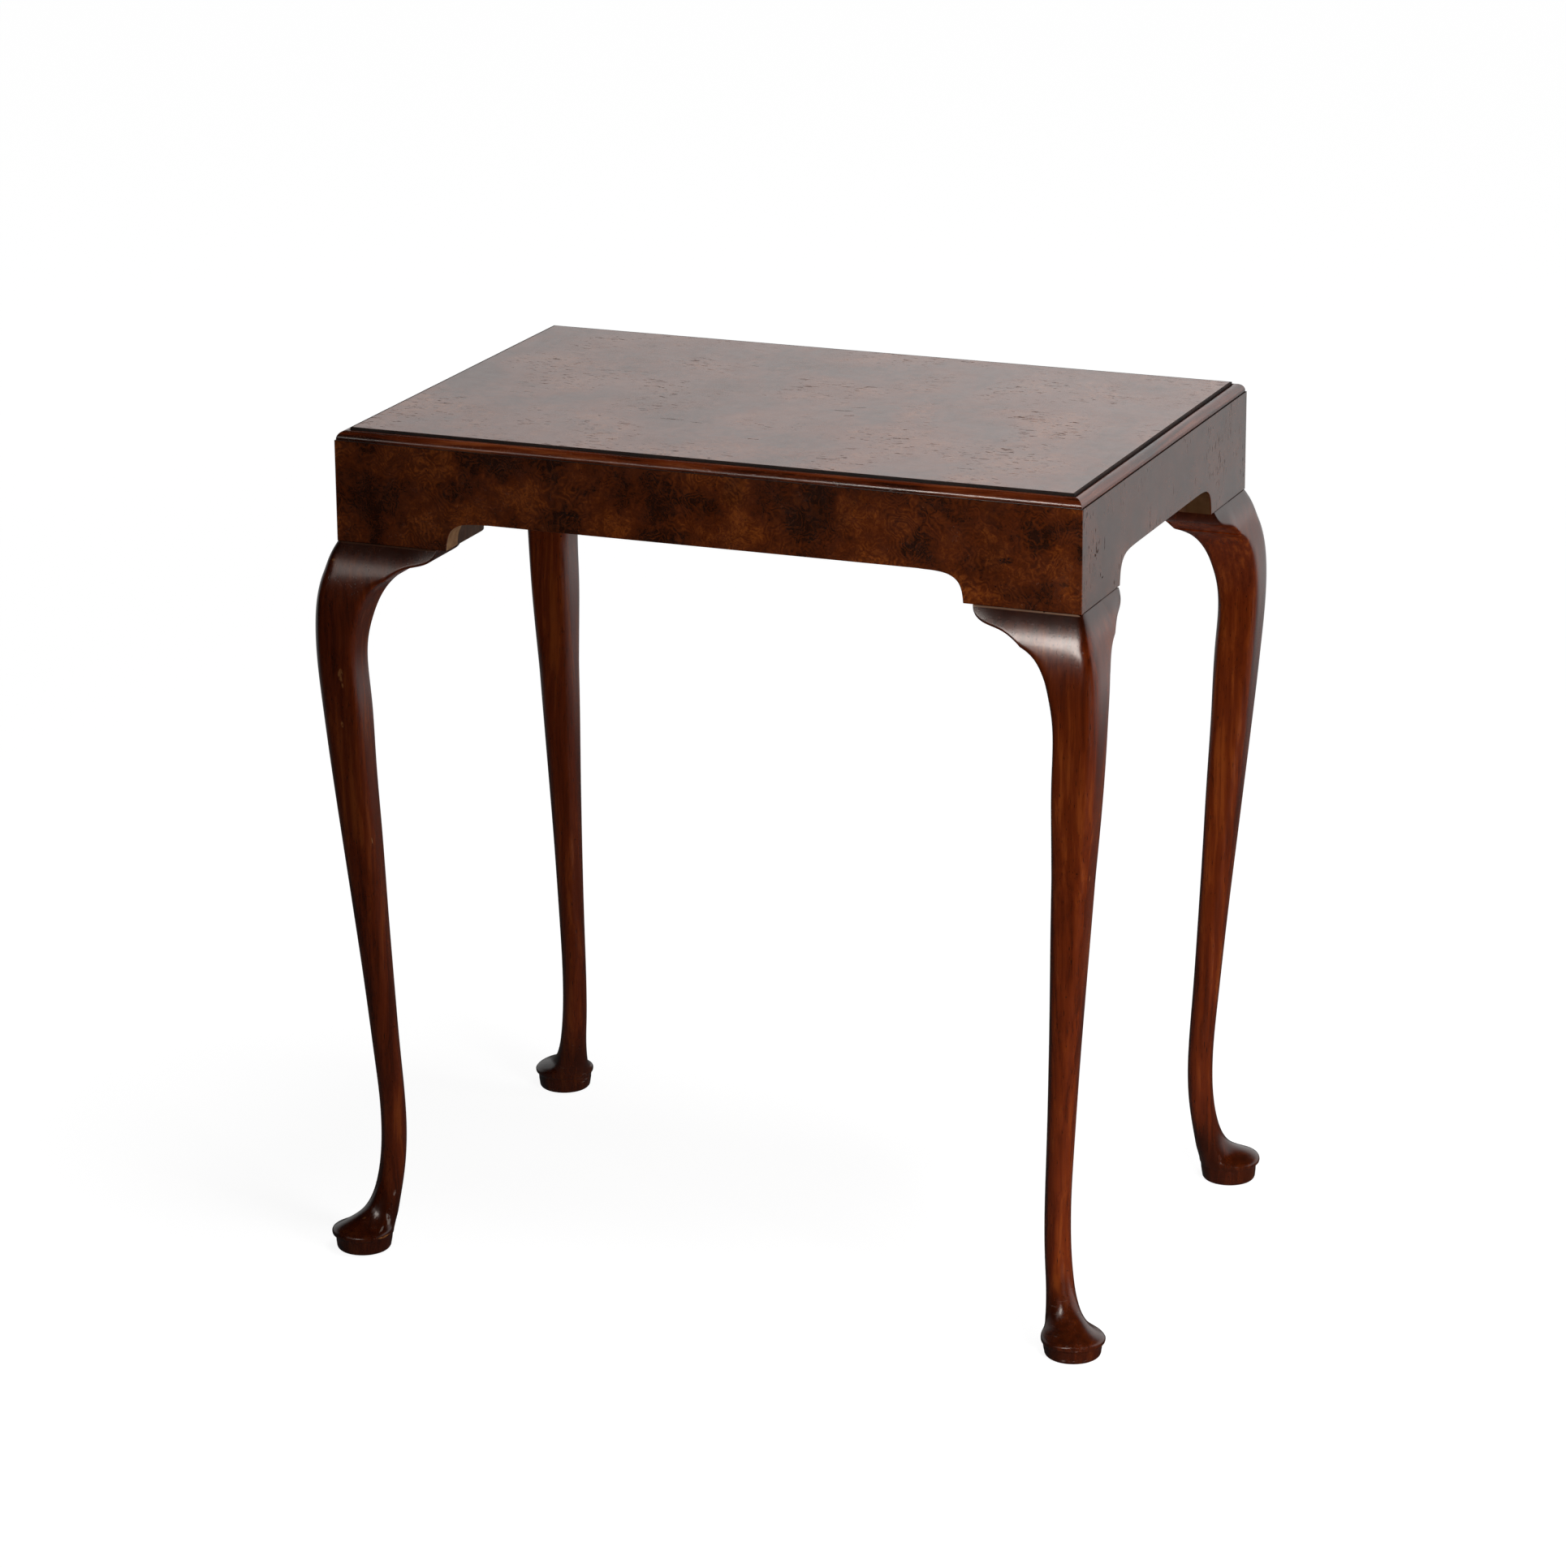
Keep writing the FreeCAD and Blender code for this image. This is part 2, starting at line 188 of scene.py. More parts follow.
def closeTree(**results):
    # each result gets an output of its own name
    tree = bench["tree"]
    for label, value in results.items():
        kind = "Geometry" if value.socket.type == "GEOMETRY" else "Float"
        tree.interface.new_socket(name=label, in_out="OUTPUT", socket_type="NodeSocket" + kind)
    out = tree.nodes.new("NodeGroupOutput").inputs
    for label, value in results.items():
        plug(out[label], value)
    laidOut(tree)
    return tree


def laidOut(tree):
    # nodes set out in columns from left to right, by how far each is from the start
    depth = {}
    for _ in range(len(tree.nodes)):
        changed = False
        for link in tree.links:
            reach = depth.get(link.from_node.name, 0) + 1
            if reach > depth.get(link.to_node.name, 0) and reach < len(tree.nodes):
                depth[link.to_node.name] = reach
                changed = True
        if not changed:
            break
    rows = {}
    for made in tree.nodes:
        column = depth.get(made.name, 0)
        made.location = (column * 190, -rows.get(column, 0) * 210)
        rows[column] = rows.get(column, 0) + 1


# ---- mesh helpers

def newObject(name, mesh):
    made = bpy.data.objects.new(name, mesh)
    bpy.context.scene.collection.objects.link(made)
    return made


def cleanMesh(mesh, sharpAngle=38, weld=0.00001):
    # weld seams and poles, turn faces outwards, keep only real arrises sharp
    work = bmesh.new()
    work.from_mesh(mesh)
    bmesh.ops.remove_doubles(work, verts=work.verts, dist=weld)
    bmesh.ops.dissolve_degenerate(work, edges=work.edges, dist=weld / 10)
    # faces shut in where two parts meet
    shut = [face for face in work.faces if all(len(edge.link_faces) > 2 for edge in face.edges)]
    bmesh.ops.delete(work, geom=shut, context="FACES_ONLY")
    bmesh.ops.recalc_face_normals(work, faces=work.faces)
    work.to_mesh(mesh)
    work.free()
    mesh.shade_smooth()
    mesh.set_sharp_from_angle(angle=math.radians(sharpAngle))
    mesh.update()
    return mesh


def skinned(name, rings, sharpAngle=38):
    # closed skin with flat ends over rings of points in millimetres
    rings = np.asarray(rings, float) * mm
    rows, columns = rings.shape[:2]
    faces = []
    for row in range(rows - 1):
        for column in range(columns):
            following = (column + 1) % columns
            faces.append((row * columns + column, row * columns + following,
                          (row + 1) * columns + following, (row + 1) * columns + column))
    faces.append(tuple(range(columns)))
    faces.append(tuple(range(rows * columns - 1, (rows - 1) * columns - 1, -1)))
    mesh = bpy.data.meshes.new(name)
    mesh.from_pydata([tuple(point) for point in rings.reshape(-1, 3)], [], faces)
    return newObject(name, cleanMesh(mesh, sharpAngle))


def splineThrough(knots, values, at):
    # natural cubic through every knot, column by column
    knots, values, at = np.asarray(knots, float), np.asarray(values, float), np.asarray(at, float)
    if values.ndim == 1:
        return splineThrough(knots, values[:, None], at)[:, 0]
    count = len(knots)
    gaps = np.diff(knots)
    slopes = np.diff(values, axis=0) / gaps[:, None]
    system = np.eye(count)
    right = np.zeros_like(values)
    for row in range(1, count - 1):
        system[row, row - 1:row + 2] = gaps[row - 1], 2 * (gaps[row - 1] + gaps[row]), gaps[row]
        right[row] = 6 * (slopes[row] - slopes[row - 1])
    bend = np.linalg.solve(system, right)
    left = np.clip(np.searchsorted(knots, at) - 1, 0, count - 2)
    gap = gaps[left][:, None]
    before = ((knots[left + 1] - at)[:, None]) / gap
    after = 1 - before
    curved = (before ** 3 - before) * bend[left] + (after ** 3 - after) * bend[left + 1]
    return before * values[left] + after * values[left + 1] + curved * gap ** 2 / 6


def evaluated(holder):
    # plain mesh of an object with its node tree applied, the holder is thrown away
    graph = bpy.context.evaluated_depsgraph_get()
    mesh = bpy.data.meshes.new_from_object(holder.evaluated_get(graph))
    old = holder.data
    bpy.data.objects.remove(holder)
    bpy.data.meshes.remove(old)
    return mesh


def growTree(name, source, tree, values):
    # run a geometry tree on a source mesh, its inputs set by name through their identifiers
    holder = newObject(name + "_rule", source)
    modifier = holder.modifiers.new("rule", "NODES")
    modifier.node_group = tree
    for item in tree.interface.items_tree:
        if item.item_type == "SOCKET" and item.in_out == "INPUT" and item.name in values:
            modifier[item.identifier] = values[item.name]
    mesh = evaluated(holder)
    mesh.name = name
    return mesh


vectors = {"data_type": "FLOAT_VECTOR"}


def gridPlace(columns, rows):
    # flat grid of points with each point's column and row as whole numbers
    mesh = wire("GeometryNodeMeshGrid", Size_X=1.0, Size_Y=1.0, Vertices_X=columns, Vertices_Y=rows)
    place = apart(wire("GeometryNodeInputPosition"))
    found = [sums("ROUND", (share + 0.5) * (count - 1.0)) for share, count in zip(place, (columns, rows))]
    return [mesh] + found


def carriedVector(name):
    return wire("GeometryNodeInputNamedAttribute", vectors, "Attribute", Name=name)


def rowValues(source, name, row):
    # three numbers carried by a row of the source mesh
    return apart(wire("GeometryNodeSampleIndex", dict(vectors, domain="POINT"), "Value",
                      Geometry=source, Value=carriedVector(name), Index=row))


def stored(geometry, name, value):
    return wire("GeometryNodeStoreNamedAttribute", {"data_type": "FLOAT", "domain": "POINT"},
                Geometry=geometry, Name=name, Value=value)


def boxOf(low, high):
    size = [high[axis] - low[axis] for axis in range(3)]
    middle = [(high[axis] + low[axis]) / 2 for axis in range(3)]
    return wire("GeometryNodeTransform", Geometry=wire("GeometryNodeMeshCube", Size=size), Translation=middle)


def cutOut(body, cutters):
    cut = node("GeometryNodeMeshBoolean", {"operation": "DIFFERENCE", "solver": "EXACT"})
    plug(cut.inputs["Mesh 1"], body)
    for cutter in cutters:
        plug(cut.inputs["Mesh 2"], cutter)
    return Wire(cut.outputs["Mesh"])


def joined(parts):
    join = node("GeometryNodeJoinGeometry")
    for part in parts:
        plug(join.inputs[0], part)
    return Wire(join.outputs[0])


def dressed(geometry, material):
    plain = wire("GeometryNodeRealizeInstances", Geometry=geometry)
    return wire("GeometryNodeSetMaterial", Geometry=plain, Material=material)


def rowMesh(name, carried):
    # loose points that only carry numbers, three to a name
    count = len(next(iter(carried.values())))
    mesh = bpy.data.meshes.new(name)
    mesh.from_pydata([(0, 0, row * mm) for row in range(count)], [], [])
    for key, values in carried.items():
        layer = mesh.attributes.new(key, "FLOAT_VECTOR", "POINT")
        layer.data.foreach_set("vector", np.asarray(values, np.float32).ravel())
    return mesh


# ---- legs

# offsets are from the outer corner of the case, outwards positive
leg = {
    "pointsRound": 96,
    "kneeLedge": 0.8,
    "kneeOut": 17.3,
    "kneeIn": -19.0,
    "kneeDrop": 77.0,
    "kneePower": 2.7,
    "ankleHeight": 100.0,
    "ankleOut": -12.0,
    "ankleIn": -32.6,
    "padCentre": -2.7,
    "padRadius": 25.0,
    "padEdge": 16.8,
    "noseHeight": 2.6,      # rounding under the rim of the pad
    "noseDepth": 0.9,
    "baseTop": 12.2,
    "baseRadius": 22.9,
    "baseTaper": 0.9,
    "baseShift": -1.0,      # the turned base sits a little back from the toe
    "baseRounding": 4.0,
    # how far each foot was carved lower or higher than the others
    "padLift": {"front_left": -1.0, "front_right": -2.2, "back_right": 0.8, "back_left": 0.0},
    "postOuter": 1.0,
    "lipInner": 8.5,
    "tenonMiddle": -11.0,
    "tenonThickness": 10.0,
    "tenonLength": 25.0,
    "tenonShoulder": 10.0,
    "carving": 0.012,       # how uneven the knife left the shank, as a share
    "easedLedge": 0.3,
    # level where something begins, and how far above it (below it, where negative) it is whole
    "egg": (118, -18),
    "knifeAbove": (24, 30),
    "knifeBelow": (550, -50),
    "arrisAbove": (430, 90),
    "arrisBelow": (580, -30),
    "crispCorners": (320, 180),
    "liftAbove": (0, 14),
    "liftBelow": (105, -60),
}

# drop below the apron, inner face, squareness of the arris and of the other corners
kneeRows = [
    (0.0, -66.0, 14.0, 14.0),
    (8.0, -66.0, 12.0, 14.0),
    (16.0, -64.0, 9.0, 13.0),
    (21.5, -58.0, 7.2, 12.0),
    (25.2, -49.0, 6.2, 11.0),
    (29.0, -41.0, 5.6, 10.0),
    (34.0, -34.6, 5.0, 9.0),
    (41.0, -29.4, 4.5, 8.0),
    (50.0, -25.2, 4.1, 7.0),
    (62.0, -21.8, 3.8, 5.6),
]

# share of the way down, shares of the move in of each face, squarenesses
shankRows = [
    (0.00, 0.000, 0.000, 3.6, 4.6),
    (0.12, 0.085, 0.035, 3.6, 4.0),
    (0.25, 0.225, 0.155, 3.5, 3.7),
    (0.40, 0.400, 0.330, 3.2, 3.2),
    (0.55, 0.575, 0.480, 2.7, 2.7),
    (0.70, 0.745, 0.650, 2.3, 2.3),
    (0.85, 0.900, 0.835, 2.1, 2.1),
    (1.00, 1.000, 1.000, 2.0, 2.0),
]

# height, heel, toe, half breadth, share of the length where the foot is broadest
footRows = [
    (72.0, -40.2, -19.4, 10.6, 0.50),
    (56.0, -37.8, -16.2, 11.0, 0.50),
    (46.0, -35.8, -12.8, 11.6, 0.46),
    (38.0, -34.0, -8.4, 12.5, 0.41),
    (32.0, -32.6, -2.8, 13.5, 0.36),
    (27.0, -31.2, 5.8, 15.0, 0.33),
    (23.4, -30.0, 14.2, 17.2, 0.35),
    (20.6, -29.0, 19.8, 21.0, 0.42),
    (18.6, -28.2, 21.9, 24.0, 0.47),
]

diagonal = math.sqrt(0.5)


def kneeSwell(drop):
    left = 1 - min(drop / leg["kneeDrop"], 1)
    return leg["kneeLedge"] + (leg["kneeOut"] - leg["kneeLedge"]) * (1 - left ** leg["kneePower"])


def grown(level, key):
    # how far something has come at a level, from 0 to 1
    start, length = leg[key]
    share = np.clip((level - start) / length, 0, 1)
    return share * share * (3 - 2 * share)


def squareRow(level, outer, inner, arris, back):
    # a squared section also written as the egg that it nearly is along the diagonal
    middle, half = (outer + inner) / 2, (outer - inner) / 2
    toe = middle / diagonal + half * 2 ** (0.5 - 1 / arris)
    heel = middle / diagonal - half * 2 ** (0.5 - 1 / back)
    return [level, outer, inner, arris, back, heel, toe, half * 2 ** (0.5 - 1 / back), 0.5]


def eggRow(level, heel, toe, breadth, widest):
    middle = (heel + toe) / 2 * diagonal
    return [level, middle + breadth, middle - breadth, 2, 2, heel, toe, breadth, widest]


def legRows():
    rows = []
    for drop, inner, arris, back in kneeRows:
        rows.append(squareRow(apronBottom - drop, kneeSwell(drop), inner, arris, back))
    kneeHeight = apronBottom - leg["kneeDrop"]
    for share, outerShare, innerShare, arris, back in shankRows:
        level = kneeHeight + (leg["ankleHeight"] - kneeHeight) * share
        outer = leg["kneeOut"] + (leg["ankleOut"] - leg["kneeOut"]) * outerShare
        inner = leg["kneeIn"] + (leg["ankleIn"] - leg["kneeIn"]) * innerShare
        rows.append(squareRow(level, outer, inner, arris, back))
    for row in footRows:
        rows.append(eggRow(*row))
    heel, toe = leg["padCentre"] - leg["padRadius"], leg["padCentre"] + leg["padRadius"]
    rows.append(eggRow(leg["padEdge"], heel, toe, leg["padRadius"], 0.5))
    rows = np.array(rows)
    # even steps between the rows, finer at the knee and the foot
    steps = np.diff(rows, axis=0)
    travel = np.sqrt(steps[:, 0] ** 2 + (steps[:, 5] ** 2 + steps[:, 6] ** 2) / 2)
    knots = np.concatenate([[0], np.cumsum(travel)])
    at = [0.35]
    for index in range(len(rows) - 1):
        fine = 2.0 if rows[index, 0] > 500 else 1.2 if rows[index, 0] < 75 else 6.0
        count = max(2, math.ceil(travel[index] / fine))
        at.extend(np.linspace(knots[index], knots[index + 1], count + 1)[1:])
    return splineThrough(knots, rows, at)


def turnedRow(level, radius, shift=0.0):
    centre = leg["padCentre"] + shift
    return eggRow(level, centre - radius, centre + radius, max(radius, 0.001), 0.5)


def padRows():
    # underside of the pad: rounded nose, small cove, tapered base and rounded bottom edge
    rim, base, shift = leg["padRadius"], leg["baseRadius"], leg["baseShift"]
    rows = []
    for angle in np.linspace(0.25, math.pi / 2, 6):
        rows.append(turnedRow(leg["padEdge"] - leg["noseHeight"] * math.sin(angle),
                              rim - leg["noseDepth"] * (1 - math.cos(angle))))
    noseEnd = leg["padEdge"] - leg["noseHeight"]
    for share in np.linspace(0.2, 1, 5):
        rows.append(turnedRow(noseEnd + (leg["baseTop"] - noseEnd) * share,
                              base + (rim - leg["noseDepth"] - base) * (1 - share) ** 2, shift * share))
    low = base - leg["baseTaper"]
    rows.append(turnedRow((leg["baseTop"] + leg["baseRounding"]) / 2, (base + low) / 2 + 0.15, shift * 0.8))
    for angle in np.linspace(0, math.pi / 2, 7):
        out = leg["baseRounding"] * (1 - math.cos(angle))
        rows.append(turnedRow(leg["baseRounding"] * (1 - math.sin(angle)), low - out, shift * 0.6))
    rows.append(turnedRow(0, base / 2))
    return np.array(rows)


def legSource():
    carved = legRows()
    top = carved[0].copy()
    top[0], top[1] = apronBottom, top[1] - leg["easedLedge"]
    rows = np.vstack([top, top, carved, padRows(), turnedRow(0, 0)])
    level = rows[:, 0]
    shrink = np.zeros(len(rows))
    shrink[0] = 1
    carve = grown(level, "knifeBelow") * grown(level, "knifeAbove")
    rim = np.exp(-((level - leg["padEdge"] + 0.4 * leg["noseHeight"]) / 1.3) ** 2)
    kneeArris = grown(level, "arrisBelow") * grown(level, "arrisAbove")
    # the two side corners stay crisp down the upper half of the leg
    sideCorner = np.maximum(rows[:, 4], 2 + 5.0 * grown(level, "crispCorners"))
    sink = grown(level, "liftAbove") * grown(level, "liftBelow")
    return rowMesh("leg_rows", {
        "faces": np.stack([level, rows[:, 1], rows[:, 2]], 1),
        "corners": np.stack([rows[:, 3], rows[:, 4], grown(level, "egg")], 1),
        "pad": np.stack([rows[:, 5], rows[:, 6], rows[:, 7]], 1),
        "form": np.stack([rows[:, 8], shrink, carve], 1),
        "worn": np.stack([rim, kneeArris, sideCorner], 1),
        "foot": np.stack([sink, level, level], 1),
    }), len(rows)


def legTree(rowCount):
    given = openTree("cabriole_leg", "GeometryNodeTree", {
        "Geometry": "Geometry", "Points round": [96, 12, 256], "Half width": 305.0, "Half depth": 200.0,
        "Side X": 1.0, "Side Y": 1.0, "Joint depth": 45.0, "Carving": [0.01, 0.0, 0.1],
        "Pad lift": 0.0, "Seed": 1.0, "Wood": "Material"})
    around = given["Points round"]
    mesh, column, row = gridPlace(around + 1.0, rowCount)
    source = given["Geometry"]
    level, outer, inner = rowValues(source, "faces", row)
    arris, back, footShare = rowValues(source, "corners", row)
    heel, toe, breadth = rowValues(source, "pad", row)
    widest, shrink, carve = rowValues(source, "form", row)
    rim, kneeArris, side = rowValues(source, "worn", row)
    sink = rowValues(source, "foot", row)[0]
    # the last column lies exactly on the first, so that the seam closes
    angle = column % around / around * (2 * math.pi)
    # squared section: the outer arris, the two side corners and the inner one
    onArris = angle < math.pi / 2
    onSide = sums("SINE", angle * 2.0) < 0.0
    power = 2.0 / between(onArris, between(onSide, back, side), arris)
    middle, half = (outer + inner) * 0.5, (outer - inner) * 0.5
    # egg along the diagonal
    centre = between(widest, heel, toe)
    turn = angle - math.pi / 4
    ahead = sums("COSINE", turn) > 0.0
    reach = between(ahead, centre - heel, toe - centre)
    along = (reach * sums("COSINE", turn) + centre) * diagonal
    across = breadth * sums("SINE", turn) * diagonal
    heart = between(footShare, middle, (heel + toe) * (diagonal / 2))
    # knife marks run along the shank
    spot = joint(sums("COSINE", angle) * 1.3, sums("SINE", angle) * 1.3, level * 0.012 + given["Seed"] * 7.3)
    cut = cloud(spot, 1.4, 2.0) * (given["Carving"] * carve)
    keep = (1.0 - cut) * (1.0 - shrink)
    placed = []
    for wave, egg in (("COSINE", along - across), ("SINE", along + across)):
        swing = sums(wave, angle)
        squared = sums("SIGN", swing) * sums("ABSOLUTE", swing) ** power
        offset = between(footShare, half * squared + middle, egg)
        placed.append(most((offset - heart) * keep + heart, given["Joint depth"] * -1.0))
    spot = joint(*placed, sink * given["Pad lift"] + level)
    carved = wire("GeometryNodeSetPosition", Geometry=mesh, Position=spot)
    toArris = most(sums("COSINE", turn), 0.0)
    carved = stored(carved, "arris", toArris ** 24.0 * kneeArris)
    carved = stored(carved, "rim", rim)
    # post above the knee, with its two mortises and the corner of the rebate cut out
    low, high = -postInner, -leg["postOuter"]
    tenonLow, tenonHigh = [leg["tenonMiddle"] + way * leg["tenonThickness"] / 2 for way in (-1, 1)]
    tenonBottom, tenonTop = apronBottom + leg["tenonShoulder"], trayFloor - leg["tenonShoulder"]
    deep = low + leg["tenonLength"]
    post = cutOut(boxOf((low, low, apronBottom), (high, high, apronTop)), [
        boxOf((low - 5, tenonLow, tenonBottom), (deep, tenonHigh, tenonTop)),
        boxOf((tenonLow, low - 5, tenonBottom), (tenonHigh, deep, tenonTop)),
        boxOf((low - 5, low - 5, trayFloor), (-leg["lipInner"], -leg["lipInner"], apronTop + 5))])
    whole = joined([post, carved])
    # from the corner frame to its own corner of the table
    x, y, z = apart(wire("GeometryNodeInputPosition"))
    x = (x + given["Half width"]) * given["Side X"]
    y = (y + given["Half depth"]) * given["Side Y"]
    placed = wire("GeometryNodeSetPosition", Geometry=whole, Position=joint(x, y, z) * (mm, mm, mm))
    return closeTree(Geometry=dressed(placed, given["Wood"]))


def makeLegs(wood):
    source, rowCount = legSource()
    tree = legTree(rowCount)
    for number, (corner, (sideX, sideY)) in enumerate(cornerSides.items()):
        mesh = growTree("cabriole_" + corner, source.copy(), tree, {
            "Points round": leg["pointsRound"],
            "Half width": halfWidth,
            "Half depth": halfDepth,
            "Side X": float(sideX),
            "Side Y": float(sideY),
            "Joint depth": postInner,
            "Carving": leg["carving"],
            "Pad lift": leg["padLift"][corner],
            "Seed": float(number + 1),
            "Wood": wood,
        })
        piece = newObject("cabriole_" + corner, cleanMesh(mesh))
        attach(piece, "frame")
        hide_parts("leg_" + corner)
    print("legs carved")


# ---- brackets beside each knee

bracket = {
    "longLength": 40.0,
    "shortLength": 37.5,
    "depth": 25.6,
    "arris": 2.2,           # rounding of the lower edge
    "stations": 46,
    "lowerEdge": [(0, 1), (0.18, 0.79), (0.40, 0.62), (0.65, 0.52), (0.85, 0.40), (0.965, 0.22), (1, 0)],
    "swell": [(0, 1), (0.175, 0.98), (0.375, 0.885), (0.7, 0.63), (1, 0.44)],
    "quicken": 0.8,         # how much sooner the face rounds over at the tip than at the knee
}


def bracketRings(length):
    edge = np.array(bracket["lowerEdge"], float)
    edge[:, 0] *= length
    edge[:, 1] *= bracket["depth"]
    travel = np.concatenate([[0], np.cumsum(np.hypot(*np.diff(edge, axis=0).T))])
    swell = np.array(bracket["swell"], float)
    ends = 1 - (1 - np.linspace(0, 1, bracket["stations"])) ** 1.6
    line = splineThrough(travel, edge, ends * travel[-1])
    rings = []
    for along, depth in line:
        along, depth = min(along, length), max(depth, 0.0)
        share = splineThrough(swell[:, 0], swell[:, 1], [along / length])[0]
        radius = min(bracket["arris"], depth * 0.4)
        quicken = 1 + bracket["quicken"] * (along / length) ** 1.5

        def offset(drop):
            return leg["kneeLedge"] + (kneeSwell(drop * quicken) - leg["kneeLedge"]) * share

        face = [(leg["kneeLedge"] - min(0.3, depth), 0.0)]
        face += [(offset(drop), drop) for drop in np.linspace(min(0.3, depth / 4), depth - radius, 14)]
        for angle in np.linspace(0, math.pi / 2, 6)[1:]:
            drop = depth - radius * (1 - math.sin(angle))
            face.append((offset(drop) - radius * (1 - math.cos(angle)), drop))
        low = face[-1][0]
        face += [(low + (-postInner - low) * step, depth) for step in (0.03, 0.35, 0.7, 1)]
        face += [(-postInner, 0.0), (-postInner / 2, 0.0)]
        rings.append([(-postInner - along, out, drop) for out, drop in face])
    return rings


def makeBrackets(wood):
    for corner, (sideX, sideY) in cornerSides.items():
        longSide, shortSide = corner.split("_")
        for side, length in ((longSide, bracket["longLength"]), (shortSide, bracket["shortLength"])):
            rings = []
            for ring in bracketRings(length):
                points = []
                for along, out, drop in ring:
                    u, v = (along, out) if side == longSide else (out, along)
                    points.append((sideX * (halfWidth + u), sideY * (halfDepth + v), apronBottom - drop))
                rings.append(points)
            piece = skinned("ear_" + corner + "_" + side, rings)
            piece.data.materials.append(wood)
            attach(piece, "frame")
            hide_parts("knee_bracket_" + corner + "_" + side)
    print("knee brackets carved")


# ---- burr facings of the aprons

apron = {
    "rise": 23.5,
    "longDrop": 93.0,
    "shortDrop": 88.0,
    "sweep": 38.0,
    "thickness": 1.0,
    "easedEdge": 0.3,
    "curve": [(0.00, 0.00), (0.03, 0.36), (0.11, 0.67), (0.27, 0.87), (0.54, 0.97), (1.00, 1.00)],
}


def apronOutline(halfLength, halfCase, dropLength):
    curve = np.array(apron["curve"], float)
    curve[:, 0] = halfCase - dropLength - apron["sweep"] * curve[:, 0]
    curve[:, 1] = apronBottom + apron["rise"] * curve[:, 1]
    travel = np.concatenate([[0], np.cumsum(np.hypot(*np.diff(curve, axis=0).T))])
    arch = splineThrough(travel, curve, np.linspace(0, travel[-1], 40))
    right = [tuple(point) for point in arch]
    left = [(-x, z) for x, z in reversed(right)]
    corners = [(-halfLength, apronBottom), (-halfLength, apronTop),
               (halfLength, apronTop), (halfLength, apronBottom)]
    return np.array(right + left + corners)


def inset(outline, width):
    # outline moved inwards by a width, whichever way round it runs
    before, after = np.roll(outline, 1, 0), np.roll(outline, -1, 0)
    area = np.sum(outline[:, 0] * after[:, 1] - after[:, 0] * outline[:, 1])
    edgeIn, edgeOut = outline - before, after - outline
    normals = []
    for edge in (edgeIn, edgeOut):
        edge = edge / np.linalg.norm(edge, axis=1)[:, None]
        normals.append(np.stack([-edge[:, 1], edge[:, 0]], 1) * np.sign(area))
    meet = normals[0] + normals[1]
    meet /= np.maximum(np.sum(meet * normals[0], 1), 0.3)[:, None]
    return outline + meet * width


def makeFacings(veneers):
    thin = apron["thickness"]
    for side, turn in (("front", 0), ("right", 1), ("back", 2), ("left", 3)):
        isLong = turn % 2 == 0
        halfCase, halfOther = (halfWidth, halfDepth) if isLong else (halfDepth, halfWidth)
        outline = apronOutline(halfCase if isLong else halfCase - thin, halfCase,
                               apron["longDrop"] if isLong else apron["shortDrop"])
        rings = []
        for shape, y in ((inset(outline, apron["easedEdge"]), -halfOther),
                         (outline, -halfOther + apron["easedEdge"]),
                         (outline, -halfOther + thin)):
            ring = [(x, y, z) for x, z in shape]
            for _ in range(turn):
                ring = [(-y, x, z) for x, y, z in ring]
            rings.append(ring)
        piece = skinned("burr_face_" + side, rings, 30)
        piece.data.materials.append(veneers[turn % 2])
        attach(piece, "frame")
        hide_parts("burr_facing_" + side)
    print("burr facings laid")


# ---- lip moulding and tray edging, mitred strips on one rule

lip = {
    "start": 1.0,
    "width": 7.5,
    "height": 7.0,
    "flat": 1.0,
    "foot": 0.6,
    "segments": 90,
    "dents": 0.28,          # how deep the moulding is worn, in millimetres
}

edging = {
    "start": 9.5,
    "width": 1.5,
    "height": 18.0,
    "rounding": 0.45,
    "segments": 60,
    "dents": 0.06,
}


def lipProfile():
    start, foot, height = lip["start"], lip["foot"], lip["height"]
    inner = start + lip["width"]
    crown = inner - lip["flat"]
    points = [(start, 0, 0), (start, foot - 0.1, 0), (start + 0.1, foot, 0)]
    for angle in np.linspace(0.03, math.pi / 2, 14):
        points.append((crown - (crown - start) * math.cos(angle),
                       foot + (height - foot) * math.sin(angle), 1))
    return points + [(inner - 0.35, height, 0.6), (inner - 0.1, height - 0.1, 0.4),
                     (inner, height - 0.35, 0), (inner, 0, 0)]


def edgingProfile():
    start, inner = edging["start"], edging["start"] + edging["width"]
    points = [(start, 0, 0)]
    for angle in np.linspace(0, math.pi / 2, 5):
        points.append((start + edging["rounding"] * (1 - math.cos(angle)),
                       edging["height"] - edging["rounding"] * (1 - math.sin(angle)), 1))
    return points + [(inner, edging["height"], 0), (inner, 0, 0)]


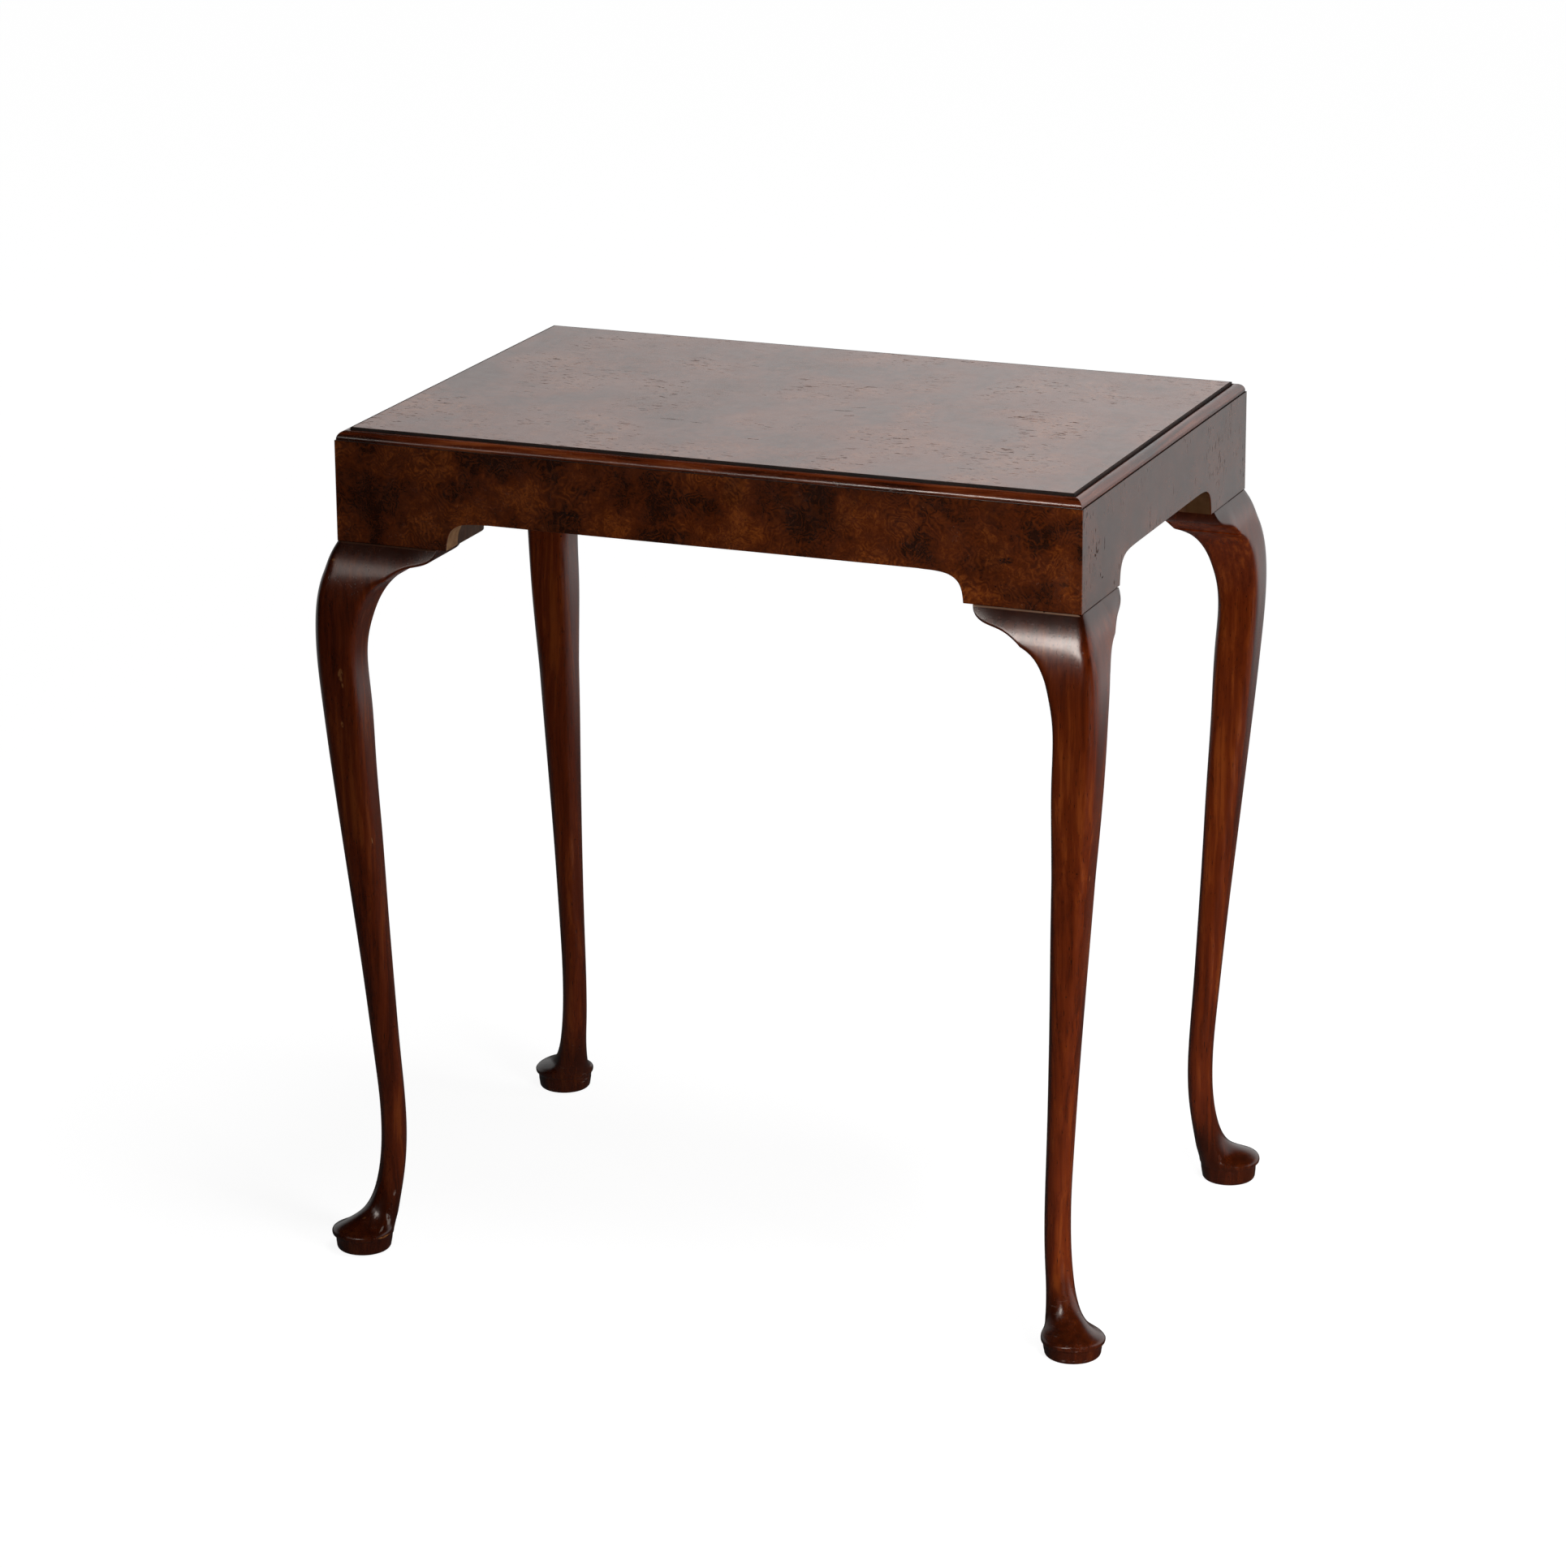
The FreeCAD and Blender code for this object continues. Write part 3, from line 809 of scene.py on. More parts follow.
def stripTree(profileCount):
    given = openTree("mitred_strip_%d" % profileCount, "GeometryNodeTree", {
        "Geometry": "Geometry", "Segments": [60, 2, 400], "Half length": 305.0, "Half across": 200.0,
        "Base level": 671.0, "Quarter turns": 0.0, "Dents": [0.2, 0.0, 2.0], "Seed": 1.0, "Wood": "Material"})
    source, segments = given["Geometry"], given["Segments"]
    # one column more at each end closes the mitre onto its middle
    mesh, column, row = gridPlace(segments + 3.0, profileCount + 1)
    inward, height, exposed = rowValues(source, "outline", row % float(profileCount))
    heart = apart(wire("GeometryNodeAttributeStatistic", dict(vectors, domain="POINT"), "Mean",
                       Geometry=source, Attribute=carriedVector("outline")))
    step = column - 1.0
    kept = least(most(step, 0.0), segments)
    atEnd = sums("ABSOLUTE", step - kept) > 0.5
    inward = between(atEnd, inward, heart[0])
    height = between(atEnd, height, heart[1])
    exposed = between(atEnd, exposed, 0.0)
    x = (kept / segments * 2.0 - 1.0) * (given["Half length"] - inward)
    # worn hollows along the exposed part
    spot = joint(x * 0.03, height * 0.05, given["Seed"] * 5.7)
    deep = cloud(spot, 1.6, 3.0) ** 2.0 * given["Dents"] * exposed
    y = inward + deep * 0.8 - given["Half across"]
    z = height - deep * 0.6 + given["Base level"]
    turned = wire("ShaderNodeVectorRotate", {"rotation_type": "Z_AXIS"}, Vector=joint(x, y, z),
                  Angle=given["Quarter turns"] * (math.pi / 2))
    placed = wire("GeometryNodeSetPosition", Geometry=mesh, Position=turned * (mm, mm, mm))
    return closeTree(Geometry=dressed(stored(placed, "rim", exposed), given["Wood"]))


def makeStrips(word, profile, sizes, base, woods, body, replaced):
    tree = stripTree(len(profile))
    for turn, side in enumerate(("front", "right", "back", "left")):
        halfCase, halfOther = (halfWidth, halfDepth) if turn % 2 == 0 else (halfDepth, halfWidth)
        mesh = growTree(word + "_" + side, rowMesh(word + "_profile", {"outline": profile}), tree, {
            "Segments": sizes["segments"],
            "Half length": halfCase,
            "Half across": halfOther,
            "Base level": base,
            "Quarter turns": float(turn),
            "Dents": sizes["dents"],
            "Seed": float(turn + 3),
            "Wood": woods[turn % 2],
        })
        piece = newObject(word + "_" + side, cleanMesh(mesh))
        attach(piece, body)
        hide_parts(replaced + side)
    print(word, "strips mitred")


# ---- screws in the corner blocks

screw = {
    "headRadius": 5.0,
    "shankRadius": 2.5,
    "length": 50.0,
    "bite": 20.0,
    "pointLength": 7.5,
    "tipRadius": 0.25,
    "slotWidth": 1.2,
    "slotDepth": 1.0,
    "blockHeight": 45.0,
    "spacing": 20.0,
    "seed": 4,
}


def cone(vertices, top, bottom, depth):
    return wire("GeometryNodeMeshCone", Vertices=vertices, Radius_Top=top, Radius_Bottom=bottom, Depth=depth)


def screwTree():
    given = openTree("block_screw", "GeometryNodeTree", {
        "Geometry": "Geometry", "Head radius": 5.0, "Shank radius": 2.5, "Length": 50.0, "Point length": 7.5,
        "Slot": (12.0, 1.2, 2.0), "Seed": 4, "Steel": "Material"})
    wide, thin, point = given["Head radius"], given["Shank radius"], given["Point length"]
    headDepth = wide - thin
    shankLength = given["Length"] - point - headDepth
    parts = [cutOut(cone(32, thin, wide, headDepth), [wire("GeometryNodeMeshCube", Size=given["Slot"])])]
    start = headDepth
    for top, length in ((thin, shankLength), (screw["tipRadius"], point)):
        rod = cone(24, top, thin, length)
        parts.append(wire("GeometryNodeTransform", Geometry=rod, Translation=joint(z=start)))
        start = start + length
    whole = wire("GeometryNodeTransform", Geometry=joined(parts), Scale=(mm, mm, mm))
    spin = node("FunctionNodeRandomValue", {"data_type": "FLOAT"}, Seed=given["Seed"])
    spin.inputs[2].default_value, spin.inputs[3].default_value = 0.0, math.pi
    facing = wire("FunctionNodeAlignRotationToVector", {"axis": "Z"}, Vector=carriedVector("aim"))
    turned = wire("FunctionNodeRotateRotation", {"rotation_space": "LOCAL"}, Rotation=facing,
                  Rotate_By=joint(z=Wire(spin.outputs[1])))
    spread = wire("GeometryNodeInstanceOnPoints", Points=given["Geometry"], Instance=whole, Rotation=turned)
    return closeTree(Geometry=dressed(spread, given["Steel"]))


def makeScrews(steel):
    seat = postInner + (screw["length"] - screw["bite"]) * diagonal
    middle = apronBottom + screw["blockHeight"] / 2
    points, aims = [], []
    for sideX, sideY in cornerSides.values():
        for step in (-1, 1):
            points.append((sideX * (halfWidth - seat) * mm, sideY * (halfDepth - seat) * mm,
                           (middle + step * screw["spacing"] / 2) * mm))
            aims.append((sideX * diagonal, sideY * diagonal, 0))
    source = bpy.data.meshes.new("screw_seats")
    source.from_pydata(points, [], [])
    source.attributes.new("aim", "FLOAT_VECTOR", "POINT").data.foreach_set(
        "vector", np.asarray(aims, np.float32).ravel())
    mesh = growTree("block_screws", source, screwTree(), {
        "Head radius": screw["headRadius"],
        "Shank radius": screw["shankRadius"],
        "Length": screw["length"],
        "Point length": screw["pointLength"],
        "Slot": (screw["headRadius"] * 2.4, screw["slotWidth"], screw["slotDepth"] * 2),
        "Seed": screw["seed"],
        "Steel": steel,
    })
    piece = newObject("block_screws", cleanMesh(mesh, 30))
    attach(piece, "frame")
    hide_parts("corner_block_screws")
    print("screws driven")


# ---- shared effects of the finishes

def drift(vector, scale, amount, detail=2.0):
    # the vector pushed about by a coloured cloud
    push = wire("ShaderNodeTexNoise", None, 1, Vector=vector, Scale=scale, Detail=detail)
    return (push - 0.5) * amount + vector


def rampUp(value, low, high):
    made = node("ShaderNodeMapRange", {"interpolation_type": "SMOOTHSTEP"}, Value=value)
    plug(made.inputs[1], low)
    plug(made.inputs[2], high)
    return Wire(made.outputs[0])


def cells(vector, scale):
    # distance from the middle of the cell, and the cell's own random numbers
    made = node("ShaderNodeTexVoronoi", Vector=vector, Scale=scale)
    return Wire(made.outputs["Distance"]), apart(Wire(made.outputs["Color"]))


def layered(colour, *layers):
    # colours laid over the first one, each with the share that it covers
    for layer in layers:
        made = node("ShaderNodeMix", {"data_type": "RGBA"})
        for index, value in zip((0, 6, 7), (layer[0], colour, layer[1])):
            plug(made.inputs[index], (*value, 1) if isinstance(value, tuple) else value)
        colour = Wire(made.outputs[2])
    return colour


def walnutGrainGroup():
    # straight grain along Z: soft streaks, open pores and a slow change of tone
    given = openTree("walnut_grain", "ShaderNodeTree", {
        "Vector": (0, 0, 0), "Streak Width": 0.006, "Run Out": 0.25, "Seed": 0.0})
    place = drift(given["Vector"], 9.0, 0.012) + joint(given["Seed"])
    wide = drift(place * (1, 1, 0.045), 30.0, given["Run Out"] * 0.01)
    streaks = cloud(wide * (1.0 / given["Streak Width"]), 1.0, 5.0, 0.62)
    slow = cloud(place * (1, 1, 0.35), 22.0, 2.0)
    fine = cloud(place * (1700, 1700, 26), 1.0, 2.0)
    pores = rampUp(cloud(place * (1350, 1350, 95), 1.0, 1.0), 0.66, 0.76)
    tone = rampUp(streaks, 0.3, 0.72) * 0.62 + rampUp(slow, 0.3, 0.7) * 0.38
    return closeTree(Tone=clamped((fine - 0.5) * 0.3 + tone), Pores=pores,
                     Relief=streaks * 0.4 + fine * 0.35 - pores * 0.6)


def burrFigureGroup():
    # burr: clouds, curled growth lines round them, clusters of pips and short open flecks
    given = openTree("burr_figure", "ShaderNodeTree", {
        "Vector": (0, 0, 0), "Patch Size": 0.05, "Curl": 1.0, "Fleck Direction": (1, 0, 0), "Seed": 0.0})
    place = given["Vector"] + joint(z=given["Seed"])
    size = place * (1.0 / given["Patch Size"])
    patches = cloud(drift(size, 0.8, 1.1, 3.0), 0.9, 4.0, 0.55)
    shade = cloud(drift(size, 1.6, 0.6), 0.55)
    # growth lines follow the contours of a slow cloud
    height = cloud(drift(size, 2.4, 0.35), 0.85)
    thread = cloud(drift(size, 2.2, 1.3, 4.0), 11.0, 4.0, 0.65)
    curls = sums("SINE", height * 150.0) * rampUp(cloud(size, 1.1, 2.0), 0.34, 0.62) * given["Curl"]
    # pips gather where the cloud is high
    gather = cloud(size, 0.9, 2.0)
    away, pick = cells(drift(size, 6.0, 0.06), 19.0)
    pips = (1 - rampUp(away, 0.10, 0.30)) * rampUp(pick[0], 0.72, 0.8)
    pips = pips * (rampUp(gather, 0.5, 0.62) * 0.85 + 0.15)
    # flecks are short open grain along one direction
    long = drift(place, 40.0, 0.006) * (given["Fleck Direction"] * -0.78 + 1.0)
    flecks = rampUp(cloud(long, 430.0, 2.0, 0.6), 0.625, 0.67) * rampUp(gather, 0.46, 0.62)
    tone = rampUp(patches, 0.30, 0.70) * 0.56 + rampUp(thread, 0.25, 0.75) * 0.36
    return closeTree(Tone=clamped(curls * 0.08 + tone), Shade=rampUp(shade, 0.52, 0.72), Curls=curls,
                     Pips=pips, Flecks=flecks, Relief=thread * 0.5 - flecks * 0.5 - pips * 0.6)


def handPolishGroup():
    # old shellac: clouded shine, rubbed patches and fine hairlines
    given = openTree("hand_polish", "ShaderNodeTree", {"Vector": (0, 0, 0), "Shine": 0.2, "Cloudiness": 0.1})
    place, cloudy = given["Vector"], given["Cloudiness"]
    patches = cloud(place, 17.0, 3.0, 0.6)
    smears = cloud(drift(place, 30.0, 0.03), 90.0, 3.0, 0.6)
    rough = (patches - 0.5) * cloudy + given["Shine"] + (smears - 0.5) * (cloudy * 1.2)
    return closeTree(Roughness=most(rough, 0.06), Relief=cloud(place, 420.0, 1.0) * 0.12 + smears * 0.5)


def wornEdgeGroup():
    # rubbed edge, broken up so that it is nowhere an even line
    given = openTree("worn_edge", "ShaderNodeTree", {"Vector": (0, 0, 0), "Edge": 0.0, "Amount": 1.0})
    broken = cloud(given["Vector"], 260.0, 4.0, 0.65)
    slow = cloud(given["Vector"], 45.0, 2.0)
    wear = given["Edge"] * (broken + slow * 0.7)
    return closeTree(Wear=rampUp(wear, 0.55, 1.0) * given["Amount"])


def knockGroup():
    # one mark at a place: a soft-ended dash along its direction
    given = openTree("knock", "ShaderNodeTree", {
        "Vector": (0, 0, 0), "Place": (0, 0, 0), "Direction": (1, 0, 0), "Length": 0.01, "Width": 0.001})
    away = drift(given["Vector"], 160.0, 0.0025) - given["Place"]
    unit = sums("NORMALIZE", given["Direction"])
    along = sums("DOT_PRODUCT", away, unit)
    across = sums("LENGTH", away - unit * along)
    ends = sums("ABSOLUTE", along) / (given["Length"] * 0.5)
    sides = across / (given["Width"] * 0.5)
    return closeTree(Mask=1 - rampUp(ends * ends + sides * sides, 0.45, 1.15))


grainGroup = walnutGrainGroup()
figureGroup = burrFigureGroup()
polishGroup = handPolishGroup()
wornGroup = wornEdgeGroup()
knocks = knockGroup()


def effect(group, **links):
    made = node("ShaderNodeGroup", {"node_tree": group}, **links)
    return {socket.name: Wire(socket) for socket in made.outputs}


def newFinish(name, **constants):
    material = bpy.data.materials.new(name)
    material.use_nodes = True
    bench["tree"] = material.node_tree
    for key, value in constants.items():
        material.node_tree.nodes["Principled BSDF"].inputs[key.replace("_", " ")].default_value = value
    return material, wire("ShaderNodeTexCoord", None, "Object")


def finished(material, height, strength, distance, **looks):
    inputs = material.node_tree.nodes["Principled BSDF"].inputs
    for key, value in looks.items():
        plug(inputs[key.replace("_", " ")], value)
    plug(inputs["Normal"], wire("ShaderNodeBump", Height=height, Strength=strength, Distance=distance))
    laidOut(material.node_tree)
    return material


def turnedGrain(place, direction):
    # bring the grain, which the group draws along Z, to run along X or Y
    if direction == "Z":
        return place
    turn = (0, math.pi / 2, 0) if direction == "X" else (math.pi / 2, 0, 0)
    return wire("ShaderNodeMapping", Vector=place, Rotation=turn)


def wornRim(place, name, strength, amount):
    # wear along an edge whose place is carried by the mesh
    edge = wire("ShaderNodeAttribute", {"attribute_name": name}, "Fac")
    return effect(wornGroup, Vector=place, Edge=edge * strength, Amount=amount)["Wear"]


def markAll(place, marks, squeeze=(1, 1, 1)):
    # strongest of several single knocks; a small squeeze lets one reach through along that axis
    whole = 0.0
    flat = place * squeeze
    for spot, direction, length, width in marks:
        spot = tuple(value * mm * part for value, part in zip(spot, squeeze))
        mark = effect(knocks, Vector=flat, Place=spot, Direction=direction, Length=length * mm,
                      Width=width * mm)
        whole = most(whole, mark["Mask"])
    return whole


# ---- polished walnut of the legs and brackets

walnutLook = {
    "dark": (0.042, 0.0056, 0.0009),
    "middle": (0.083, 0.0115, 0.0014),
    "light": (0.150, 0.0290, 0.0036),
    "pore": (0.008, 0.0022, 0.001),
    "bare": (0.26, 0.105, 0.032),     # where the stain is rubbed through
    "scuff": (0.36, 0.31, 0.27),
    "ledgeHighlight": (0.34, 0.20, 0.13),      # painted highlight on the ledge where the knee meets the front apron
    "shine": 0.22,
    "cloudiness": 0.08,
    "coat": 0.20,
    # small knocks: place, direction, length, width in millimetres
    "paleKnocks": [((-298, -214, 488), (0.1, 0, 1), 10, 4.6), ((-297, -214, 482), (0.1, 0, -1), 12, 2.2),
                   ((-305, -210, 577), (1, 0, 0.1), 4, 2.2), ((-299, -211, 446), (0, 0, 1), 6, 2.6),
                   ((-282, -205, 15.5), (1, 0, 0.05), 15, 1.8), ((-299, -195, 27.4), (1, 0, 0.2), 6, 3.4)],
    "greyKnocks": [((-290, -195, 30), (0.5, 0, 1), 6, 2.4), ((-281, -197, 27), (-0.35, 0, 1), 10, 2.6),
                   ((-283, -200, 20), (0.2, 0, 1), 6, 2.2), ((-278, -190, 47), (0.2, 0, 1), 7, 1.6)],
    "darkKnocks": [((312, -214, 574.5), (1, 0.1, 0.06), 9, 1.0), ((310, -214, 572), (0.2, 0, 1), 5, 0.8),
                   ((273, -190, 67), (1, 0, 0.1), 6, 2.6), ((268, -190, 63), (1, 0, 0.1), 5, 3.0),
                   ((271, -190, 47), (0, 0, 1), 6, 3.0)],
}


def polishedWalnut():
    look = walnutLook
    pore = look["pore"]
    material, place = newFinish("polished_walnut", Coat_Roughness=0.15, IOR=1.5)
    grain = effect(grainGroup, Vector=place, Streak_Width=0.005, Run_Out=0.5)
    polish = effect(polishGroup, Vector=place, Shine=look["shine"], Cloudiness=look["cloudiness"])
    # painted shade darkens the corner under the apron and dulls its coat, with a painted highlight line above
    # it in front
    x, y, level = apart(place)
    underApronShade = rampUp(level, (apronBottom - 20) * mm, (apronBottom - 4) * mm)
    inFront = 1 - rampUp(y, (-halfDepth - 0.5) * mm, (-halfDepth - 0.1) * mm)
    # painted highlight: a light line on the knee ledge just under the front apron, weaker on the left
    ledgeHighlight = rampUp(level, (apronBottom - 1.5) * mm, (apronBottom - 0.7) * mm) * inFront
    ledgeHighlight = ledgeHighlight * between(rampUp(x, -0.01, 0.01), 0.15, 0.9) * (cloud(place, 60.0) * 0.7 + 0.3)
    # black specks of old wax
    away, pick = cells(place, 130.0)
    speck = (1 - rampUp(away, 0.06, 0.13)) * rampUp(pick[1], 0.90, 0.93)
    wear = most(wornRim(place, "rim", 1.4, 1.0), wornRim(place, "arris", 1.0, 0.2))
    # soil, and scuffs of shoes and brooms, near the floor
    low = 1 - rampUp(level, 0.03, 0.075)
    scuffs = rampUp(cloud(place * (60, 60, 420), 1.0, 4.0, 0.7), 0.62, 0.76) * low
    scuffs = scuffs * (rampUp(cloud(place, 5.0, 1.0), 0.4, 0.6) * 0.28 + 0.02)
    patchy = rampUp(cloud(place, 300.0), 0.3, 0.6)
    grey, pale, crack = [
        markAll(place, look[key + "Knocks"], (1, 0.12, 1)) for key in ("grey", "pale", "dark")]
    scuffs = most(scuffs, grey * patchy * 0.4)
    # among these layers are the painted shade under the apron and the painted highlight on the knee ledge
    colour = layered(look["dark"],
                     (rampUp(grain["Tone"], 0.05, 0.55), look["middle"]),
                     (rampUp(grain["Tone"], 0.5, 1.0), look["light"]),
                     (grain["Pores"] * 0.75, pore),
                     (underApronShade * 0.75, pore),
                     (ledgeHighlight, look["ledgeHighlight"]),
                     (speck, pore),
                     (wear, look["bare"]),
                     (low * 0.6 * (1 - wear), pore),
                     (scuffs, look["scuff"]),
                     (pale * patchy * 0.7, look["bare"]),
                     (crack * 0.8, pore))
    return finished(material, polish["Relief"] * 0.5 + grain["Relief"] + crack * -2.0, 0.35, 0.00018,
                    Base_Color=colour, Roughness=wear * 0.15 + polish["Roughness"] + scuffs * 0.25,
                    Coat_Weight=(1 - most(low * 0.95, underApronShade)) * look["coat"])


# ---- burr veneers of the aprons and the top

apronBurrLook = {
    "dark": (0.023, 0.0048, 0.0012),
    "middle": (0.096, 0.0170, 0.0022),
    "light": (0.270, 0.063, 0.0080),
    "pip": (0.007, 0.003, 0.002),
    "patchSize": 0.038,
    "curlShow": 0.12,
    "fleckShow": 0.12,
    "shine": 0.24,
    "coat": 0.10,
    "openRough": 0.0,       # how much rougher the open grain is than the polish
    "seed": 2.0,
    # dark slash and knots: place, direction, length, width in millimetres
    "slashes": [((-107, -200, 630), (1, 0, -0.12), 15, 4.0), ((-103, -200, 629), (1, 0, -0.2), 9, 3.2),
                ((246, -200, 627), (1, 0, 0.2), 13, 6), ((291, -200, 613), (1, 0, -0.1), 9, 4.5),
                ((60, -200, 612), (1, 0, 0), 9, 3.5)],
}

sideBurrLook = dict(apronBurrLook, **{
    "dark": (0.030, 0.0075, 0.0022),
    "middle": (0.062, 0.0135, 0.0030),
    "light": (0.105, 0.0250, 0.0050),
    "fleckShow": 0.6,
    "coat": 0.25,
    "openRough": 0.8,
    "slashes": [((305, -168, 635), (0, 0.1, 1), 9, 2.0), ((305, -166, 631), (0, 1, 0.2), 6, 2.4),
                ((305, -170, 629), (0, 1, -0.3), 4, 2.4), ((305, -149, 633), (0, 0.1, 1), 11, 1.5),
                ((305, -153, 608), (0, 1, 0), 3.5, 1.8), ((305, -158, 611), (0, 0.2, 1), 4, 1.2)],
})

topBurrLook = {
    "dark": (0.085, 0.0290, 0.0160),
    "middle": (0.155, 0.0450, 0.0200),
    "light": (0.275, 0.0920, 0.0340),
    "pip": (0.007, 0.005, 0.005),
    "patchSize": 0.075,
    "curlShow": 0.08,
    "fleckShow": 0.6,
    "shine": 0.24,
    "coat": 0.3,
    "openRough": 0.7,
    "seed": 5.0,
    "slashes": [((42, -8, 680), (1, 0.12, 0), 16, 1.6), ((50, 6, 680), (1, 0.3, 0), 14, 1.3),
                ((52, -22, 680), (1, 0.45, 0), 10, 1.8), ((-26, 42, 680), (1, 0.25, 0), 11, 1.4),
                ((30, 72, 680), (0.6, 0.4, 0), 5, 2.0), ((-72, -80, 680), (1, 0.02, 0), 22, 1.2),
                ((-52, -84, 680), (1, -0.1, 0), 12, 1.2), ((10, -118, 680), (1, 0.05, 0), 13, 1.4),
                ((112, -78, 680), (1, 0.05, 0), 9, 1.6), ((120, -76, 680), (1, 0.8, 0), 5, 1.2)],
}


def burrVeneer(name, look, fleckDirection):
    material, place = newFinish(name, Coat_Roughness=0.14, IOR=1.5)
    figure = effect(figureGroup, Vector=place, Patch_Size=look["patchSize"], Curl=1.0,
                    Fleck_Direction=fleckDirection, Seed=look["seed"])
    polish = effect(polishGroup, Vector=place, Shine=look["shine"], Cloudiness=0.12)
    curls, flecks = figure["Curls"], figure["Flecks"] * look["fleckShow"]
    broken = markAll(place, look["slashes"]) * rampUp(cloud(place, 600.0), 0.3, 0.6)
    # a dark line painted along the seam under the lip
    level = apart(place)[2]
    seam = rampUp(level, (apronTop - 0.4) * mm, (apronTop - 0.1) * mm)
    seam = seam * (1 - rampUp(level, (apronTop + 1) * mm, (apronTop + 2) * mm))
    colour = layered(look["dark"],
                     (rampUp(figure["Tone"], 0.12, 0.56), look["middle"]),
                     (rampUp(figure["Tone"], 0.52, 0.98), look["light"]),
                     (most(curls, 0.0) * look["curlShow"], look["light"]),
                     (least(curls, 0.0) * (-1.3 * look["curlShow"]), look["dark"]),
                     (figure["Shade"] * 0.45, look["dark"]),
                     (figure["Pips"] * 0.85, look["pip"]),
                     (flecks, look["pip"]),
                     (broken * 0.8, look["pip"]),
                     (seam, look["pip"]))
    # open grain and knocks hold no polish
    dull = most(most(flecks, broken), seam)
    return finished(material, polish["Relief"] * 0.5 + figure["Relief"] + broken * -1.2, 0.3, 0.00015,
                    Base_Color=colour, Roughness=dull * look["openRough"] + polish["Roughness"],
                    Coat_Weight=(1 - dull) * look["coat"])


# ---- dark wood of the lip, and the near-black tray edging, whose black is partly painted shade round the tray

lipLook = {
    "dark": (0.022, 0.0042, 0.0014),
    "middle": (0.105, 0.0165, 0.0034),
    "light": (0.22, 0.052, 0.013),
    "rubbed": (0.30, 0.13, 0.07),
    "shine": 0.21,
}


def lipWood(name, direction):
    look = lipLook
    material, place = newFinish(name, Coat_Weight=0.2, Coat_Roughness=0.12, IOR=1.5)
    grain = effect(grainGroup, Vector=turnedGrain(place, direction), Streak_Width=0.004, Run_Out=0.3,
                   Seed=3.0)
    polish = effect(polishGroup, Vector=place, Shine=look["shine"], Cloudiness=0.14)
    wear = wornRim(place, "rim", 1.0, 0.28) * rampUp(cloud(place, 700.0, 4.0, 0.7), 0.55, 0.68)
    colour = layered(look["dark"],
                     (rampUp(grain["Tone"], 0.1, 0.6), look["middle"]),
                     (rampUp(grain["Tone"], 0.55, 1.0), look["light"]),
                     (grain["Pores"] * 0.6, look["dark"]),
                     (wear, look["rubbed"]))
    return finished(material, polish["Relief"] * 0.7 + grain["Relief"] + wear * -0.6, 0.4, 0.0002,
                    Base_Color=colour, Roughness=wear * 0.2 + polish["Roughness"])


edgingLook = {
    "dark": (0.0035, 0.002, 0.0022),
    "light": (0.014, 0.007, 0.007),
    "rubbed": (0.07, 0.026, 0.012),
    "shine": 0.6,
}


# near-black edging: partly its own dark finish, partly painted shade of the gap round the tray panel
def blackEdging(name, direction):
    look = edgingLook
    material, place = newFinish(name, IOR=1.3)
    grain = effect(grainGroup, Vector=turnedGrain(place, direction), Streak_Width=0.003, Seed=6.0)
    polish = effect(polishGroup, Vector=place, Shine=look["shine"], Cloudiness=0.15)
    colour = layered(look["dark"], (grain["Tone"], look["light"]),
                     (wornRim(place, "rim", 1.0, 0.3), look["rubbed"]))
    return finished(material, grain["Relief"], 0.3, 0.0001, Base_Color=colour, Roughness=polish["Roughness"])


# ---- plain woods that stay inside the case

insideWoods = {
    "rail": {"dark": (0.15, 0.068, 0.028), "light": (0.33, 0.185, 0.088), "pore": (0.09, 0.04, 0.02),
             # old: painted shade colour of the rails towards the back of the case
             "old": (0.034, 0.012, 0.0024), "width": 0.007, "shine": 0.62},
    "block": {"dark": (0.030, 0.012, 0.006), "light": (0.085, 0.036, 0.016), "pore": (0.012, 0.006, 0.004),
              "width": 0.005, "shine": 0.55},
    "backing": {"dark": (0.055, 0.024, 0.012), "light": (0.13, 0.062, 0.030), "pore": (0.03, 0.013, 0.007),
                "width": 0.009, "shine": 0.5},
    "core": {"dark": (0.19, 0.10, 0.05), "light": (0.33, 0.2, 0.11), "pore": (0.12, 0.06, 0.03),
             "width": 0.008, "shine": 0.65},
}


def insideWood(kind, direction):
    look = insideWoods[kind]
    material, place = newFinish(kind + "_wood_" + direction.lower(), IOR=1.3)
    grain = effect(grainGroup, Vector=turnedGrain(place, direction), Streak_Width=look["width"],
                   Run_Out=0.8, Seed=9.0)
    polish = effect(polishGroup, Vector=place, Shine=look["shine"], Cloudiness=0.2)
    # dust and old glue runs
    stain = rampUp(cloud(drift(place, 12.0, 0.05), 26.0, 4.0, 0.6), 0.5, 0.75)
    colour = layered(look["dark"], (grain["Tone"], look["light"]), (grain["Pores"] * 0.7, look["pore"]),
                     (stain * 0.45, look["pore"]))
    if kind == "rail":
        # painted shade: the rails darken towards the back of the case
        colour = layered(colour, (rampUp(apart(place)[1], 0.02, 0.10) * 0.92, look["old"]))
    return finished(material, grain["Relief"], 0.6, 0.0003, Base_Color=colour, Roughness=polish["Roughness"])


steelLook = {
    "bright": (0.27, 0.25, 0.22),
    "rust": (0.085, 0.034, 0.014),
}


def screwSteel():
    material, place = newFinish("old_screw_steel", IOR=1.5)
    rust = rampUp(cloud(place, 380.0, 5.0, 0.65), 0.42, 0.62)
    rust = rust * (rampUp(cloud(place, 90.0, 2.0), 0.4, 0.6) * 0.6 + 0.4)
    return finished(material, rust, 0.5, 0.0001, Metallic=rust * -0.85 + 0.95, Roughness=rust * 0.35 + 0.38,
                    Base_Color=layered(steelLook["bright"], (rust, steelLook["rust"])))


